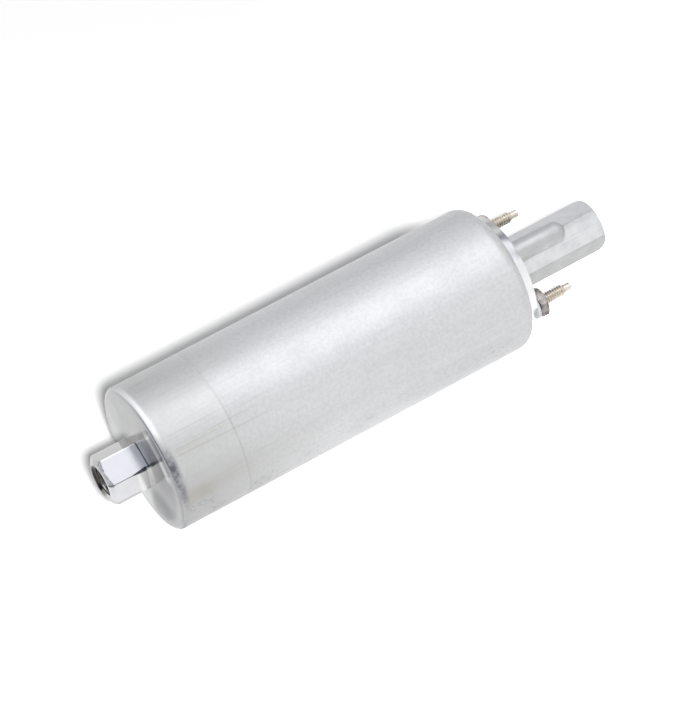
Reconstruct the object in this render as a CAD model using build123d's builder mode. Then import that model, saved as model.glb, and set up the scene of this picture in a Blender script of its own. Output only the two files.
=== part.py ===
from build123d import *

import math
import os

# An inline electric fuel pump. The pump axis is X, from inlet to outlet, +Z goes up through the
# rib of the outlet casting, and the terminals stand at +Y and -Y of the axis.
# The origin is at the middle of the shell's straight part. All lengths are in millimetres.

# Shell, a drawn can whose outlet rim is rolled over the end cap
shell_wall = 1.2
shell_straight_length = 113.6
shell_end_corner = 1.6
shell_end_flat_radius = 9.0
shell_end_rise = 1.1
shell_rim_corner = 4.7
shell_rim_lip = 0.5

# Ports, with their female threads drilled to the minor radius
port_radius = 4.46
port_depth = 10.0
port_mouth_radius = 5.4
port_mouth_depth = 0.8
passage_radius = 3.5
hexagon_across_flats = 14.0

# Inlet fitting
inlet_hexagon_length = 12.7
inlet_hexagon_turn = 11.0
inlet_end_radius = 5.75
inlet_chamfer_angle = 30.0
inlet_shank_radius = 6.0
inlet_shank_length = 9.5

# Outlet casting
land_length = 2.9
land_edge = 0.25
outlet_tube_length = 31.0
outlet_tube_corner = 0.8
outlet_tube_edge = 0.5
rib_radius = 3.3
rib_height = 7.1
rib_length = 16.3
outlet_flange_length = 10.2
outlet_recess_depth = 2.0
valve_chamber_radius = 5.0
port_web = 1.4

# Terminals
terminal_inset = 3.0
stud_radius = 1.75
stud_shank_radius = 1.45
stud_thread_end = 10.9
stud_pilot_radius = 1.02
stud_taper_length = 0.7
stud_pilot_length = 2.4
stud_head_radius = 2.9
stud_head_height = 1.5
nut_across_flats = 7.94
nut_height = 2.78
nut_turn = 8.0
insulator_flange_radius = 4.15
insulator_flange_height = 1.1
insulator_shank_radius = 2.6
terminal_seal_radius = 3.3
terminal_counterbore_depth = 1.5
strap_thickness = 0.7
strap_width = 5.6

# Seal grooves and their rings
seal_section = 1.8
seal_groove_depth = 1.7
seal_groove_width = 2.4
end_cap_groove_inset = 3.0
housing_groove_inset = 3.2
inlet_seal_section = 1.5

# Gerotor: the outer rotor has one lobe more than the inner rotor, and the two shares are of the
# lobe circle's radius
outer_lobes = 7
lobe_circle_radius = 12.5
lobe_share = 0.36
offset_share = 0.096
lobe_gap = 0.05
rotor_rim = 1.0
cam_thick_wall = 8.85
lobe_root_gap = 0.15
rotor_thickness = 6.0
rotor_side_gap = 0.05
inner_rotor_arcs_per_lobe = 8

# Pump section
inlet_housing_length = 15.3
inlet_housing_web = 3.0
strainer_frame_width = 0.9
strainer_thickness = 0.9
strainer_inset = 0.4
strainer_hole_radius = 0.9
strainer_holes = 6
strainer_hole_circle = 3.0
hub_radius = 4.3
hub_length = 4.5
kidney_depth = 4.0
kidney_inner_radius = 6.9
kidney_outer_radius = 10.1
kidney_start_angle = 20.0
kidney_sweep_angle = 140.0
inlet_kidney_inner_radius = 4.9
plate_thickness = 5.0
plate_bore_radius = 5.2
dowel_radius = 1.5
dowel_wall = 0.6
dowel_angle = 75.0
dowel_length = 15.6
dowel_depth = 4.5

# Relief valve in the thick side of the cam ring
relief_wall = 0.8
relief_seat_radius = 1.5
relief_ball_radius = 2.0
relief_bore_radius = 2.5
relief_pocket_depth = 8.0
relief_wire = 0.4
relief_spring_radius = 1.7
relief_port_radius = 1.0
relief_port_inset = 4.7

# Shaft and its bearings
shaft_radius = 2.5
shaft_chamfer = 0.3
front_bush_radius = 3.6
front_bush_length = 4.2
rear_bush_radius = 4.2
rear_bush_length = 8.0
shaft_rear_reach = 1.1
thrust_washer_thickness = 0.8
thrust_washer_radius = 4.3

# Coupling between the armature and the inner rotor
coupling_hub_radius = 5.6
coupling_hub_length = 4.0
coupling_gap = 0.4
tang_inner_radius = 3.1
tang_outer_radius = 4.9
tang_width = 2.6
tang_reach = 3.0

# Armature
armature_gap = 0.6
armature_slots = 8
slot_mouth_width = 1.6
slot_root_radius = 6.6
slot_mouth_depth = 1.4
slot_share = 0.56
end_turn_length = 8.0
end_turn_drop = 1.2
end_turn_inner_radius = 4.0
end_turn_edge = 2.6
end_turn_gap = 1.5
commutator_radius = 10.5
commutator_base_length = 4.0
commutator_bar_length = 2.0
commutator_bar_inner_radius = 5.0
commutator_bar_edge = 0.2
commutator_slit = 0.6

# Field
flux_ring_wall = 2.0
magnet_thickness = 3.95
magnet_angle = 128.0
magnet_overhang = 6.0
magnet_spring_thickness = 0.5
magnet_spring_angle = 40.0
magnet_spring_inset = 4.0

# Brush gear
brush_holder_length = 12.6
brush_holder_floor = 3.0
brush_holder_ring_wall = 1.6
brush_hub_radius = 5.2
brush_offset = 8.0
brush_radial = 4.0
brush_width = 5.0
brush_length = 8.0
brush_reach = 1.4
brush_box_wall = 1.0
brush_box_inset = 0.8
brush_spring_radius = 1.6
brush_wire = 0.4
holder_window_inner_radius = 11.4
holder_window_rim = 1.4
holder_window_angle = 50.0
holder_windows = 4

# Check valve in the outlet tube
valve_seat_length = 4.0
valve_seat_bore = 2.8
valve_seal_thickness = 1.0
valve_seal_radius = 3.9
valve_nose_radius = 1.9
valve_lip_radius = 2.3
valve_lip_thickness = 0.4
valve_head_radius = 4.0
valve_head_thickness = 1.5
valve_head_edge = 0.4
valve_stem_radius = 1.25
valve_stem_length = 7.5
valve_spring_length = 5.5
valve_spring_radius = 2.2
valve_wire = 0.45
guide_hub_radius = 2.4
guide_hub_length = 6.0
guide_ring_length = 6.0
guide_ring_lap = 2.0
guide_ring_wall = 0.95
guide_arm_width = 1.2
guide_arms = 3

# Clearances, each named for the kind of fit
slip_gap = 0.1
press_gap = 0.02
running_gap = 0.03
air_gap = 0.05
cut_over = 1.0

# Radii and stations along the axis that follow from the sizes above
lobe_radius = lobe_circle_radius * lobe_share
rotor_offset = lobe_circle_radius * offset_share
outer_rotor_radius = lobe_circle_radius + rotor_rim
housing_radius = outer_rotor_radius + lobe_gap - rotor_offset + cam_thick_wall
shell_bore = housing_radius + slip_gap
shell_radius = shell_bore + shell_wall
groove_radius = housing_radius - seal_groove_depth
dowel_circle_radius = groove_radius - dowel_wall - dowel_radius
relief_offset = groove_radius - relief_wall - relief_bore_radius
holder_ring_bore = housing_radius - brush_holder_ring_wall
holder_window_outer_radius = holder_ring_bore - holder_window_rim
flux_ring_bore = housing_radius - flux_ring_wall
magnet_outer_radius = flux_ring_bore - air_gap
magnet_inner_radius = magnet_outer_radius - magnet_thickness
armature_radius = magnet_inner_radius - armature_gap
slot_outer_radius = armature_radius - slot_mouth_depth
end_turn_radius = armature_radius - end_turn_drop
rim_centre_radius = shell_radius - shell_rim_corner
rim_bore = rim_centre_radius - shell_rim_lip
land_radius = rim_bore - slip_gap
terminal_offset = land_radius - terminal_inset
hexagon_radius = hexagon_across_flats / math.sqrt(3)
half_straight = shell_straight_length / 2
end_corner_x = -half_straight - shell_end_corner
inlet_face_x = end_corner_x - shell_end_rise
inlet_end_x = inlet_face_x - inlet_hexagon_length
rim_x = half_straight + shell_rim_corner
land_x = rim_x + land_length
outlet_end_x = land_x + outlet_tube_length

housing_front_x = inlet_face_x + shell_wall + air_gap
housing_rear_x = housing_front_x + inlet_housing_length
cam_rear_x = housing_rear_x + rotor_thickness + 2 * rotor_side_gap
plate_rear_x = cam_rear_x + plate_thickness
flange_front_x = rim_x - shell_wall - slip_gap
flange_rear_x = flange_front_x - outlet_flange_length
holder_front_x = flange_rear_x - brush_holder_length
recess_x = flange_rear_x + outlet_recess_depth

shank_end_x = inlet_face_x + inlet_shank_length
rotor_front_x = housing_rear_x + rotor_side_gap
coupling_x = plate_rear_x + coupling_gap
front_turns_x = coupling_x + coupling_hub_length + end_turn_gap
stack_front_x = front_turns_x + end_turn_length
commutator_face_x = holder_front_x - brush_reach
bar_x = commutator_face_x - commutator_bar_length
commutator_x = bar_x - commutator_base_length
stack_rear_x = commutator_x - air_gap - end_turn_length
rear_bush_x = commutator_face_x + thrust_washer_thickness + 2 * air_gap
hub_rear_x = rear_bush_x + rear_bush_length
strap_x = flange_rear_x - brush_box_inset
stud_x = strap_x + strap_thickness
stud_seal_x = stud_x + stud_head_height
bush_x = recess_x + terminal_counterbore_depth
nut_x = land_x + insulator_flange_height
thread_end_x = land_x + stud_thread_end
chamber_end_x = outlet_end_x - port_depth - port_web
guide_ring_x = chamber_end_x - guide_ring_length
guide_hub_x = guide_ring_x - guide_ring_lap
valve_head_x = guide_hub_x - valve_spring_length - valve_head_thickness
valve_face_x = valve_head_x - valve_seal_thickness
valve_seat_x = valve_face_x - valve_seat_length


def turned(points, mode=Mode.ADD, place=(0, 0)):
    """Revolve a closed outline of (x, radius) points about a line along X at a (y, z) place."""
    centre = (0, *place)
    with BuildSketch(Plane(origin=centre, x_dir=(1, 0, 0), z_dir=(0, 0, 1))) as outline:
        with BuildLine():
            Polyline(*points, close=True)
        make_face()
    revolve(outline.sketch, axis=Axis(centre, (1, 0, 0)), mode=mode)


def ring(start, end, inner, outer, mode=Mode.ADD):
    """A plain ring about the pump axis, from one station to another."""
    turned([(start, inner), (end, inner), (end, outer), (start, outer)], mode)


def rod(start, end, radius, places=((0, 0),), mode=Mode.ADD):
    """A round bar, or a hole where it is cut away, at each (y, z) place."""
    with BuildSketch(Plane.YZ.offset(start)) as outline:
        with Locations(*places):
            Circle(radius)
    extrude(outline.sketch, amount=end - start, mode=mode)


def kidney(inner, outer, start_angle, sweep_angle):
    """A ring sector between two radii, drawn in the active sketch."""
    first = math.radians(start_angle)
    middle = math.radians(start_angle + sweep_angle / 2)
    last = math.radians(start_angle + sweep_angle)
    outward = [(outer * math.cos(a), outer * math.sin(a)) for a in (first, middle, last)]
    inward = [(inner * math.cos(a), inner * math.sin(a)) for a in (last, middle, first)]
    with BuildLine() as outline:
        ThreePointArc(*outward)
        Line(outward[-1], inward[0])
        ThreePointArc(*inward)
        Line(inward[-1], outward[0])
    make_face(outline.edges())


os.makedirs("parts", exist_ok=True)

terminal_places = ((terminal_offset, 0), (-terminal_offset, 0))

# The shell's outline runs along the outside from the inlet end to the rolled rim and back inside,
# where the rim lies on the chamfer of the end cap.
with BuildPart() as pump_shell:
    corner_radius = shell_radius - shell_end_corner
    with BuildSketch(Plane.XY):
        with BuildLine():
            Polyline(
                (inlet_face_x, inlet_shank_radius + slip_gap),
                (inlet_face_x, shell_end_flat_radius),
                (end_corner_x, corner_radius),
            )
            RadiusArc((end_corner_x, corner_radius), (-half_straight, shell_radius), shell_end_corner)
            Line((-half_straight, shell_radius), (half_straight, shell_radius))
            RadiusArc((half_straight, shell_radius), (rim_x, rim_centre_radius), shell_rim_corner)
            Polyline(
                (rim_x, rim_centre_radius),
                (rim_x, rim_bore),
                (rim_x - shell_wall, rim_bore),
                (rim_x - shell_wall, rim_centre_radius),
            )
            Polyline(
                (rim_x - shell_wall, rim_centre_radius),
                (half_straight, shell_bore),
                (end_corner_x + shell_wall, shell_bore),
                (inlet_face_x + shell_wall, shell_end_flat_radius),
                (inlet_face_x + shell_wall, inlet_shank_radius + slip_gap),
                (inlet_face_x, inlet_shank_radius + slip_gap),
            )
        make_face()
    revolve(axis=Axis.X)
pump_shell.part.label = "pump_shell"
export_step(pump_shell.part, "parts/pump_shell.step")

# The inlet fitting is a hexagon whose free end is turned to a cone, with a round shank behind it.
with BuildPart() as inlet_fitting:
    with BuildSketch(Plane.YZ.offset(inlet_end_x)):
        RegularPolygon(hexagon_radius, 6, rotation=inlet_hexagon_turn)
    extrude(amount=inlet_hexagon_length)
    cone_length = (hexagon_radius - inlet_end_radius) * math.tan(math.radians(inlet_chamfer_angle))
    with BuildSketch(Plane.XY):
        with BuildLine():
            Polyline(
                (inlet_end_x, 0),
                (inlet_end_x, inlet_end_radius),
                (inlet_end_x + cone_length, hexagon_radius),
                (inlet_face_x, hexagon_radius),
                (inlet_face_x, 0),
                close=True,
            )
        make_face()
    revolve(axis=Axis.X, mode=Mode.INTERSECT)
    rod(inlet_face_x, shank_end_x, inlet_shank_radius)
    rod(inlet_end_x, shank_end_x, passage_radius, mode=Mode.SUBTRACT)
    rod(inlet_end_x, inlet_end_x + port_depth, port_radius, mode=Mode.SUBTRACT)
    turned(
        [
            (inlet_end_x, 0),
            (inlet_end_x, port_mouth_radius),
            (inlet_end_x + port_mouth_depth, port_radius),
            (inlet_end_x + port_mouth_depth, 0),
        ],
        Mode.SUBTRACT,
    )
inlet_fitting.part.label = "inlet_fitting"
export_step(inlet_fitting.part, "parts/inlet_fitting.step")

# The inlet housing fills the closed end of the shell and carries the front bush on a hub.
with BuildPart() as inlet_housing:
    shank_bore = inlet_shank_radius + air_gap
    front_corner_x = housing_front_x + shell_end_rise
    inlet_groove_depth = inlet_seal_section - slip_gap
    inlet_groove_radius = shank_bore + inlet_seal_section + slip_gap
    front_bore_end_x = housing_rear_x - inlet_housing_web
    strainer_seat_x = shank_end_x + strainer_inset + strainer_thickness
    turned(
        [
            (housing_front_x, 0),
            (housing_front_x, shell_end_flat_radius),
            (front_corner_x, housing_radius),
            (housing_rear_x, housing_radius),
            (housing_rear_x, 0),
        ]
    )
    rod(housing_front_x, strainer_seat_x, shank_bore, mode=Mode.SUBTRACT)
    ring(
        strainer_seat_x, front_bore_end_x, hub_radius, shank_bore - strainer_inset, Mode.SUBTRACT
    )
    rod(strainer_seat_x, housing_rear_x - hub_length, hub_radius, mode=Mode.SUBTRACT)
    rod(housing_front_x, housing_rear_x, front_bush_radius, mode=Mode.SUBTRACT)
    ring(
        housing_front_x,
        housing_front_x + inlet_groove_depth,
        shank_bore - cut_over,
        inlet_groove_radius,
        Mode.SUBTRACT,
    )
    with BuildSketch(Plane.YZ.offset(housing_rear_x)):
        kidney(
            inlet_kidney_inner_radius, kidney_outer_radius, kidney_start_angle, kidney_sweep_angle
        )
    extrude(amount=-kidney_depth, mode=Mode.SUBTRACT)
    housing_groove_x = housing_rear_x - housing_groove_inset
    ring(
        housing_groove_x,
        housing_groove_x + seal_groove_width,
        groove_radius,
        housing_radius + cut_over,
        Mode.SUBTRACT,
    )
    rod(
        housing_rear_x - relief_pocket_depth,
        housing_rear_x,
        relief_bore_radius,
        ((relief_offset, 0),),
        Mode.SUBTRACT,
    )
    with BuildSketch(Plane.XZ.offset(-housing_radius)):
        with Locations((housing_rear_x - relief_port_inset, 0)):
            Circle(relief_port_radius)
    extrude(amount=housing_radius - (hub_radius + shank_bore) / 2, mode=Mode.SUBTRACT)
    with BuildSketch(Plane.YZ.offset(housing_rear_x)):
        with PolarLocations(dowel_circle_radius, 2, start_angle=dowel_angle):
            Circle(dowel_radius + press_gap)
    extrude(amount=-dowel_depth, mode=Mode.SUBTRACT)
inlet_housing.part.label = "inlet_housing"
export_step(inlet_housing.part, "parts/inlet_housing.step")

# A square-cut seal sits round the shank, in the housing's front face.
with BuildPart() as inlet_seal:
    ring(
        housing_front_x,
        housing_front_x + inlet_groove_depth - air_gap,
        shank_bore + press_gap,
        inlet_groove_radius - press_gap,
    )
inlet_seal.part.label = "inlet_seal"
export_step(inlet_seal.part, "parts/inlet_seal.step")

with BuildPart() as inlet_housing_seal:
    seal_clear = (seal_groove_width - seal_section) / 2
    ring(
        housing_groove_x + seal_clear,
        housing_groove_x + seal_groove_width - seal_clear,
        groove_radius + press_gap,
        shell_bore - press_gap,
    )
inlet_housing_seal.part.label = "inlet_housing_seal"
export_step(inlet_housing_seal.part, "parts/inlet_housing_seal.step")

# The strainer is a drilled disc with a thicker frame, held between the shank and a step in the bore.
with BuildPart() as inlet_strainer:
    strainer_radius = inlet_shank_radius - press_gap
    ring(
        shank_end_x + strainer_inset,
        strainer_seat_x,
        strainer_radius - strainer_frame_width,
        strainer_radius,
    )
    rod(shank_end_x + strainer_inset, strainer_seat_x - strainer_inset, strainer_radius)
    with BuildSketch(Plane.YZ.offset(shank_end_x)):
        Circle(strainer_hole_radius)
        with PolarLocations(strainer_hole_circle, strainer_holes):
            Circle(strainer_hole_radius)
    extrude(amount=strainer_inset + strainer_thickness, mode=Mode.SUBTRACT)
inlet_strainer.part.label = "inlet_strainer"
export_step(inlet_strainer.part, "parts/inlet_strainer.step")

with BuildPart() as front_bush:
    front_bush_x = housing_rear_x - front_bush_length
    ring(
        front_bush_x,
        housing_rear_x - air_gap,
        shaft_radius + running_gap,
        front_bush_radius - press_gap,
    )
front_bush.part.label = "front_bush"
export_step(front_bush.part, "parts/front_bush.step")

# The cam ring's bore stands off the axis by the rotor offset. Its thick side holds the relief valve.
with BuildPart() as cam_ring:
    rod(housing_rear_x, cam_rear_x, housing_radius)
    rod(
        housing_rear_x,
        cam_rear_x,
        outer_rotor_radius + lobe_gap,
        ((-rotor_offset, 0),),
        Mode.SUBTRACT,
    )
    rod(housing_rear_x, cam_rear_x, relief_bore_radius, ((relief_offset, 0),), Mode.SUBTRACT)
    with BuildSketch(Plane.YZ.offset(housing_rear_x)):
        with PolarLocations(dowel_circle_radius, 2, start_angle=dowel_angle):
            Circle(dowel_radius + press_gap)
    extrude(amount=cam_rear_x - housing_rear_x, mode=Mode.SUBTRACT)
cam_ring.part.label = "cam_ring"
export_step(cam_ring.part, "parts/cam_ring.step")

# The outer rotor's cavity is a circle into which the round lobes stand.
with BuildPart() as outer_rotor:
    cavity_radius = lobe_circle_radius - lobe_radius + 2 * rotor_offset + lobe_root_gap
    with BuildSketch(Plane.YZ.offset(rotor_front_x)):
        with Locations((-rotor_offset, 0)):
            Circle(outer_rotor_radius)
            Circle(cavity_radius, mode=Mode.SUBTRACT)
            with PolarLocations(lobe_circle_radius, outer_lobes):
                Circle(lobe_radius)
            Circle(outer_rotor_radius, mode=Mode.INTERSECT)
    extrude(amount=rotor_thickness)
outer_rotor.part.label = "outer_rotor"
export_step(outer_rotor.part, "parts/outer_rotor.step")


def inner_rotor_point(angle):
    """A point of the curve that keeps one lobe gap from every round lobe of the outer rotor."""
    inner_lobes = outer_lobes - 1
    lean = math.atan2(
        -math.sin(inner_lobes * angle),
        lobe_circle_radius / (rotor_offset * outer_lobes) - math.cos(inner_lobes * angle),
    )
    reach = lobe_radius + lobe_gap
    across = (
        lobe_circle_radius * math.cos(angle)
        - reach * math.cos(angle + lean)
        - rotor_offset * math.cos(outer_lobes * angle)
    )
    up = (
        reach * math.sin(angle + lean)
        + rotor_offset * math.sin(outer_lobes * angle)
        - lobe_circle_radius * math.sin(angle)
    )
    return across, up


# The inner rotor meshes with the round lobes and has two slots for the coupling's tangs.
with BuildPart() as inner_rotor:
    arc_count = inner_rotor_arcs_per_lobe * (outer_lobes - 1)
    with BuildSketch(Plane.YZ.offset(rotor_front_x)):
        with BuildLine():
            for arc in range(arc_count):
                ThreePointArc(
                    inner_rotor_point(2 * math.pi * arc / arc_count),
                    inner_rotor_point(2 * math.pi * (arc + 0.5) / arc_count),
                    inner_rotor_point(2 * math.pi * (arc + 1) / arc_count),
                )
        make_face()
        Circle(shaft_radius + press_gap, mode=Mode.SUBTRACT)
    extrude(amount=rotor_thickness)
    tang_front_x = plate_rear_x - plate_thickness - tang_reach
    with BuildSketch(Plane.YZ.offset(tang_front_x - air_gap)):
        Rectangle(tang_width + 2 * air_gap, 2 * (tang_outer_radius + air_gap))
    extrude(amount=tang_reach + cut_over, mode=Mode.SUBTRACT)
inner_rotor.part.label = "inner_rotor"
export_step(inner_rotor.part, "parts/inner_rotor.step")

# The port plate closes the pump section. Its kidney lets fuel out to the motor, and its bore clears
# the coupling.
with BuildPart() as outlet_port_plate:
    rod(cam_rear_x, plate_rear_x, housing_radius)
    rod(cam_rear_x, plate_rear_x, plate_bore_radius, mode=Mode.SUBTRACT)
    rod(cam_rear_x, plate_rear_x, relief_seat_radius, ((relief_offset, 0),), Mode.SUBTRACT)
    with BuildSketch(Plane.YZ.offset(cam_rear_x)):
        kidney(
            kidney_inner_radius, kidney_outer_radius, -kidney_start_angle, -kidney_sweep_angle
        )
    extrude(amount=plate_thickness, mode=Mode.SUBTRACT)
    with BuildSketch(Plane.YZ.offset(cam_rear_x)):
        with PolarLocations(dowel_circle_radius, 2, start_angle=dowel_angle):
            Circle(dowel_radius + press_gap)
    extrude(amount=dowel_depth, mode=Mode.SUBTRACT)
outlet_port_plate.part.label = "outlet_port_plate"
export_step(outlet_port_plate.part, "parts/outlet_port_plate.step")

# Two dowels line up the housing, the cam ring and the port plate.
with BuildPart() as dowel_pins:
    dowel_span = cam_rear_x - housing_rear_x + 2 * dowel_depth
    dowel_clear = (dowel_span - min(dowel_length, dowel_span)) / 2
    with BuildSketch(Plane.YZ.offset(housing_rear_x - dowel_depth + dowel_clear + air_gap)):
        with PolarLocations(dowel_circle_radius, 2, start_angle=dowel_angle):
            Circle(dowel_radius)
    extrude(amount=dowel_span - 2 * dowel_clear - 2 * air_gap)
dowel_pins.part.label = "dowel_pins"
export_step(dowel_pins.part, "parts/dowel_pins.step")

# The relief ball rests on the rim of the hole in the port plate, on the side of the cam ring.
with BuildPart() as relief_ball:
    seat_drop = math.sqrt(relief_ball_radius**2 - relief_seat_radius**2)
    ball_x = cam_rear_x - seat_drop - press_gap
    with Locations((ball_x, relief_offset, 0)):
        Sphere(relief_ball_radius)
relief_ball.part.label = "relief_ball"
export_step(relief_ball.part, "parts/relief_ball.step")

with BuildPart() as relief_spring:
    relief_spring_bore = relief_spring_radius - relief_wire
    spring_front_x = housing_rear_x - relief_pocket_depth
    spring_rear_x = ball_x - math.sqrt(relief_ball_radius**2 - relief_spring_bore**2) - air_gap
    rod(spring_front_x, spring_rear_x, relief_spring_radius, ((relief_offset, 0),))
    rod(
        spring_front_x,
        spring_rear_x,
        relief_spring_bore,
        ((relief_offset, 0),),
        Mode.SUBTRACT,
    )
relief_spring.part.label = "relief_spring"
export_step(relief_spring.part, "parts/relief_spring.step")

# The coupling sits on the shaft and reaches through the port plate with two tangs.
with BuildPart() as drive_coupling:
    rod(coupling_x, coupling_x + coupling_hub_length, coupling_hub_radius)
    with BuildSketch(Plane.YZ.offset(tang_front_x)):
        Circle(tang_outer_radius)
        Rectangle(tang_width, 2 * tang_outer_radius, mode=Mode.INTERSECT)
        Circle(tang_inner_radius, mode=Mode.SUBTRACT)
    extrude(amount=coupling_x - tang_front_x)
    rod(
        coupling_x,
        coupling_x + coupling_hub_length,
        shaft_radius + press_gap,
        mode=Mode.SUBTRACT,
    )
drive_coupling.part.label = "drive_coupling"
export_step(drive_coupling.part, "parts/drive_coupling.step")

with BuildPart() as armature_shaft:
    shaft_front_x = front_bush_x + air_gap
    shaft_rear_x = hub_rear_x + shaft_rear_reach
    rod(shaft_front_x, shaft_rear_x, shaft_radius)
    chamfer(armature_shaft.edges().filter_by(GeomType.CIRCLE), shaft_chamfer)
armature_shaft.part.label = "armature_shaft"
export_step(armature_shaft.part, "parts/armature_shaft.step")

# The stack's slots open outward through narrow mouths.
with BuildPart() as lamination_stack:
    slot_pitch = 360 / armature_slots
    slot_angle = slot_pitch * slot_share
    mouth_depth = slot_mouth_depth + cut_over
    rod(stack_front_x, stack_rear_x, armature_radius)
    rod(stack_front_x, stack_rear_x, shaft_radius + press_gap, mode=Mode.SUBTRACT)
    with BuildSketch(Plane.YZ.offset(stack_front_x)):
        for slot in range(armature_slots):
            kidney(
                slot_root_radius,
                slot_outer_radius,
                slot * slot_pitch - slot_angle / 2,
                slot_angle,
            )
        with PolarLocations(armature_radius, armature_slots):
            Rectangle(2 * mouth_depth, slot_mouth_width)
    extrude(amount=stack_rear_x - stack_front_x, mode=Mode.SUBTRACT)
lamination_stack.part.label = "lamination_stack"
export_step(lamination_stack.part, "parts/lamination_stack.step")

# The windings fill the slots and turn over in a bevelled bundle at each end of the stack.
with BuildPart() as armature_windings:
    coil_angle = slot_angle - math.degrees(2 * slip_gap / slot_root_radius)
    for near_x, far_x in ((stack_front_x, front_turns_x), (stack_rear_x, commutator_x - air_gap)):
        outward = math.copysign(end_turn_edge, far_x - near_x)
        turned(
            [
                (near_x, end_turn_inner_radius),
                (near_x, end_turn_radius),
                (far_x - outward, end_turn_radius),
                (far_x, end_turn_radius - end_turn_edge),
                (far_x, end_turn_inner_radius),
            ]
        )
    with BuildSketch(Plane.YZ.offset(stack_front_x)):
        for slot in range(armature_slots):
            kidney(
                slot_root_radius + slip_gap,
                slot_outer_radius - slip_gap,
                slot * slot_pitch - coil_angle / 2,
                coil_angle,
            )
    extrude(amount=stack_rear_x - stack_front_x)
armature_windings.part.label = "armature_windings"
export_step(armature_windings.part, "parts/armature_windings.step")

# The face commutator has a moulded base with a hub, and flat copper bars that the brushes press on.
with BuildPart() as commutator_base:
    rod(commutator_x, bar_x, commutator_radius)
    rod(bar_x, commutator_face_x, commutator_bar_inner_radius - air_gap)
    rod(commutator_x, commutator_face_x, shaft_radius + press_gap, mode=Mode.SUBTRACT)
commutator_base.part.label = "commutator_base"
export_step(commutator_base.part, "parts/commutator_base.step")

with BuildPart() as commutator_bars:
    ring(
        bar_x,
        commutator_face_x,
        commutator_bar_inner_radius,
        commutator_radius - commutator_bar_edge,
    )
    with BuildSketch(Plane.YZ.offset(bar_x)):
        with PolarLocations(commutator_radius / 2, armature_slots, start_angle=slot_pitch / 2):
            Rectangle(commutator_radius, commutator_slit)
    extrude(amount=commutator_bar_length, mode=Mode.SUBTRACT)
commutator_bars.part.label = "commutator_bars"
export_step(commutator_bars.part, "parts/commutator_bars.step")

with BuildPart() as thrust_washer:
    ring(
        commutator_face_x + air_gap,
        commutator_face_x + air_gap + thrust_washer_thickness,
        shaft_radius + running_gap,
        thrust_washer_radius,
    )
thrust_washer.part.label = "thrust_washer"
export_step(thrust_washer.part, "parts/thrust_washer.step")

# The flux ring holds the field together and presses the pump section against the inlet end.
with BuildPart() as flux_ring:
    ring(plate_rear_x, holder_front_x, flux_ring_bore, housing_radius)
flux_ring.part.label = "flux_ring"
export_step(flux_ring.part, "parts/flux_ring.step")

with BuildPart() as magnets:
    with BuildSketch(Plane.YZ.offset(stack_front_x - magnet_overhang)):
        for side in (1, -1):
            kidney(
                magnet_inner_radius,
                magnet_outer_radius,
                side * (90 - magnet_angle / 2),
                side * magnet_angle,
            )
    extrude(amount=stack_rear_x - stack_front_x + 2 * magnet_overhang)
magnets.part.label = "magnets"
export_step(magnets.part, "parts/magnets.step")

# A channel of spring strip stands in each gap between the magnets and pushes them apart.
with BuildPart() as magnet_springs:
    leg_angle = math.degrees(magnet_spring_thickness / magnet_inner_radius)
    half_spring = magnet_spring_angle / 2
    with BuildSketch(Plane.YZ.offset(stack_front_x - magnet_overhang + magnet_spring_inset)):
        for middle in (0, 180):
            kidney(
                magnet_outer_radius - magnet_spring_thickness,
                magnet_outer_radius,
                middle - half_spring,
                magnet_spring_angle,
            )
            for leg_start in (middle - half_spring, middle + half_spring - leg_angle):
                kidney(magnet_inner_radius, magnet_outer_radius, leg_start, leg_angle)
    extrude(
        amount=stack_rear_x - stack_front_x + 2 * magnet_overhang - 2 * magnet_spring_inset
    )
magnet_springs.part.label = "magnet_springs"
export_step(magnet_springs.part, "parts/magnet_springs.step")

brush_places = ((brush_offset, 0), (-brush_offset, 0))

# The moulded brush holder has a clamping ring, a floor with windows for the fuel, a hub for the
# rear bush and a box for each brush.
with BuildPart() as brush_holder:
    guide_radial = brush_radial + 2 * air_gap
    guide_width = brush_width + 2 * air_gap
    rod(holder_front_x, holder_front_x + brush_holder_floor, housing_radius)
    ring(holder_front_x, flange_rear_x, holder_ring_bore, housing_radius)
    rod(holder_front_x, hub_rear_x, brush_hub_radius)
    with BuildSketch(Plane.YZ.offset(holder_front_x)):
        with Locations(*brush_places):
            Rectangle(guide_radial + 2 * brush_box_wall, guide_width + 2 * brush_box_wall)
    extrude(amount=strap_x - holder_front_x)
    with BuildSketch(Plane.YZ.offset(holder_front_x)):
        with Locations(*brush_places):
            Rectangle(guide_radial, guide_width)
    extrude(amount=strap_x - holder_front_x, mode=Mode.SUBTRACT)
    with BuildSketch(Plane.YZ.offset(holder_front_x)):
        for window in range(holder_windows):
            kidney(
                holder_window_inner_radius,
                holder_window_outer_radius,
                (window + 0.5) * 360 / holder_windows - holder_window_angle / 2,
                holder_window_angle,
            )
    extrude(amount=brush_holder_floor, mode=Mode.SUBTRACT)
    rod(holder_front_x, hub_rear_x, rear_bush_radius, mode=Mode.SUBTRACT)
brush_holder.part.label = "brush_holder"
export_step(brush_holder.part, "parts/brush_holder.step")

with BuildPart() as rear_bush:
    ring(
        rear_bush_x, hub_rear_x, shaft_radius + running_gap, rear_bush_radius - press_gap
    )
rear_bush.part.label = "rear_bush"
export_step(rear_bush.part, "parts/rear_bush.step")


def brush(place):
    """A carbon block that stands on the commutator's face."""
    with BuildSketch(Plane.YZ.offset(commutator_face_x)) as outline:
        with Locations(place):
            Rectangle(brush_radial, brush_width)
    extrude(outline.sketch, amount=brush_length)


def brush_spring(place):
    """The coil that pushes a brush, as its outer and inner diameters."""
    start = commutator_face_x + brush_length
    rod(start, strap_x, brush_spring_radius, [place])
    rod(start, strap_x, brush_spring_radius - brush_wire, [place], Mode.SUBTRACT)


with BuildPart() as positive_brush:
    brush(brush_places[0])
positive_brush.part.label = "positive_brush"
export_step(positive_brush.part, "parts/positive_brush.step")

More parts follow.
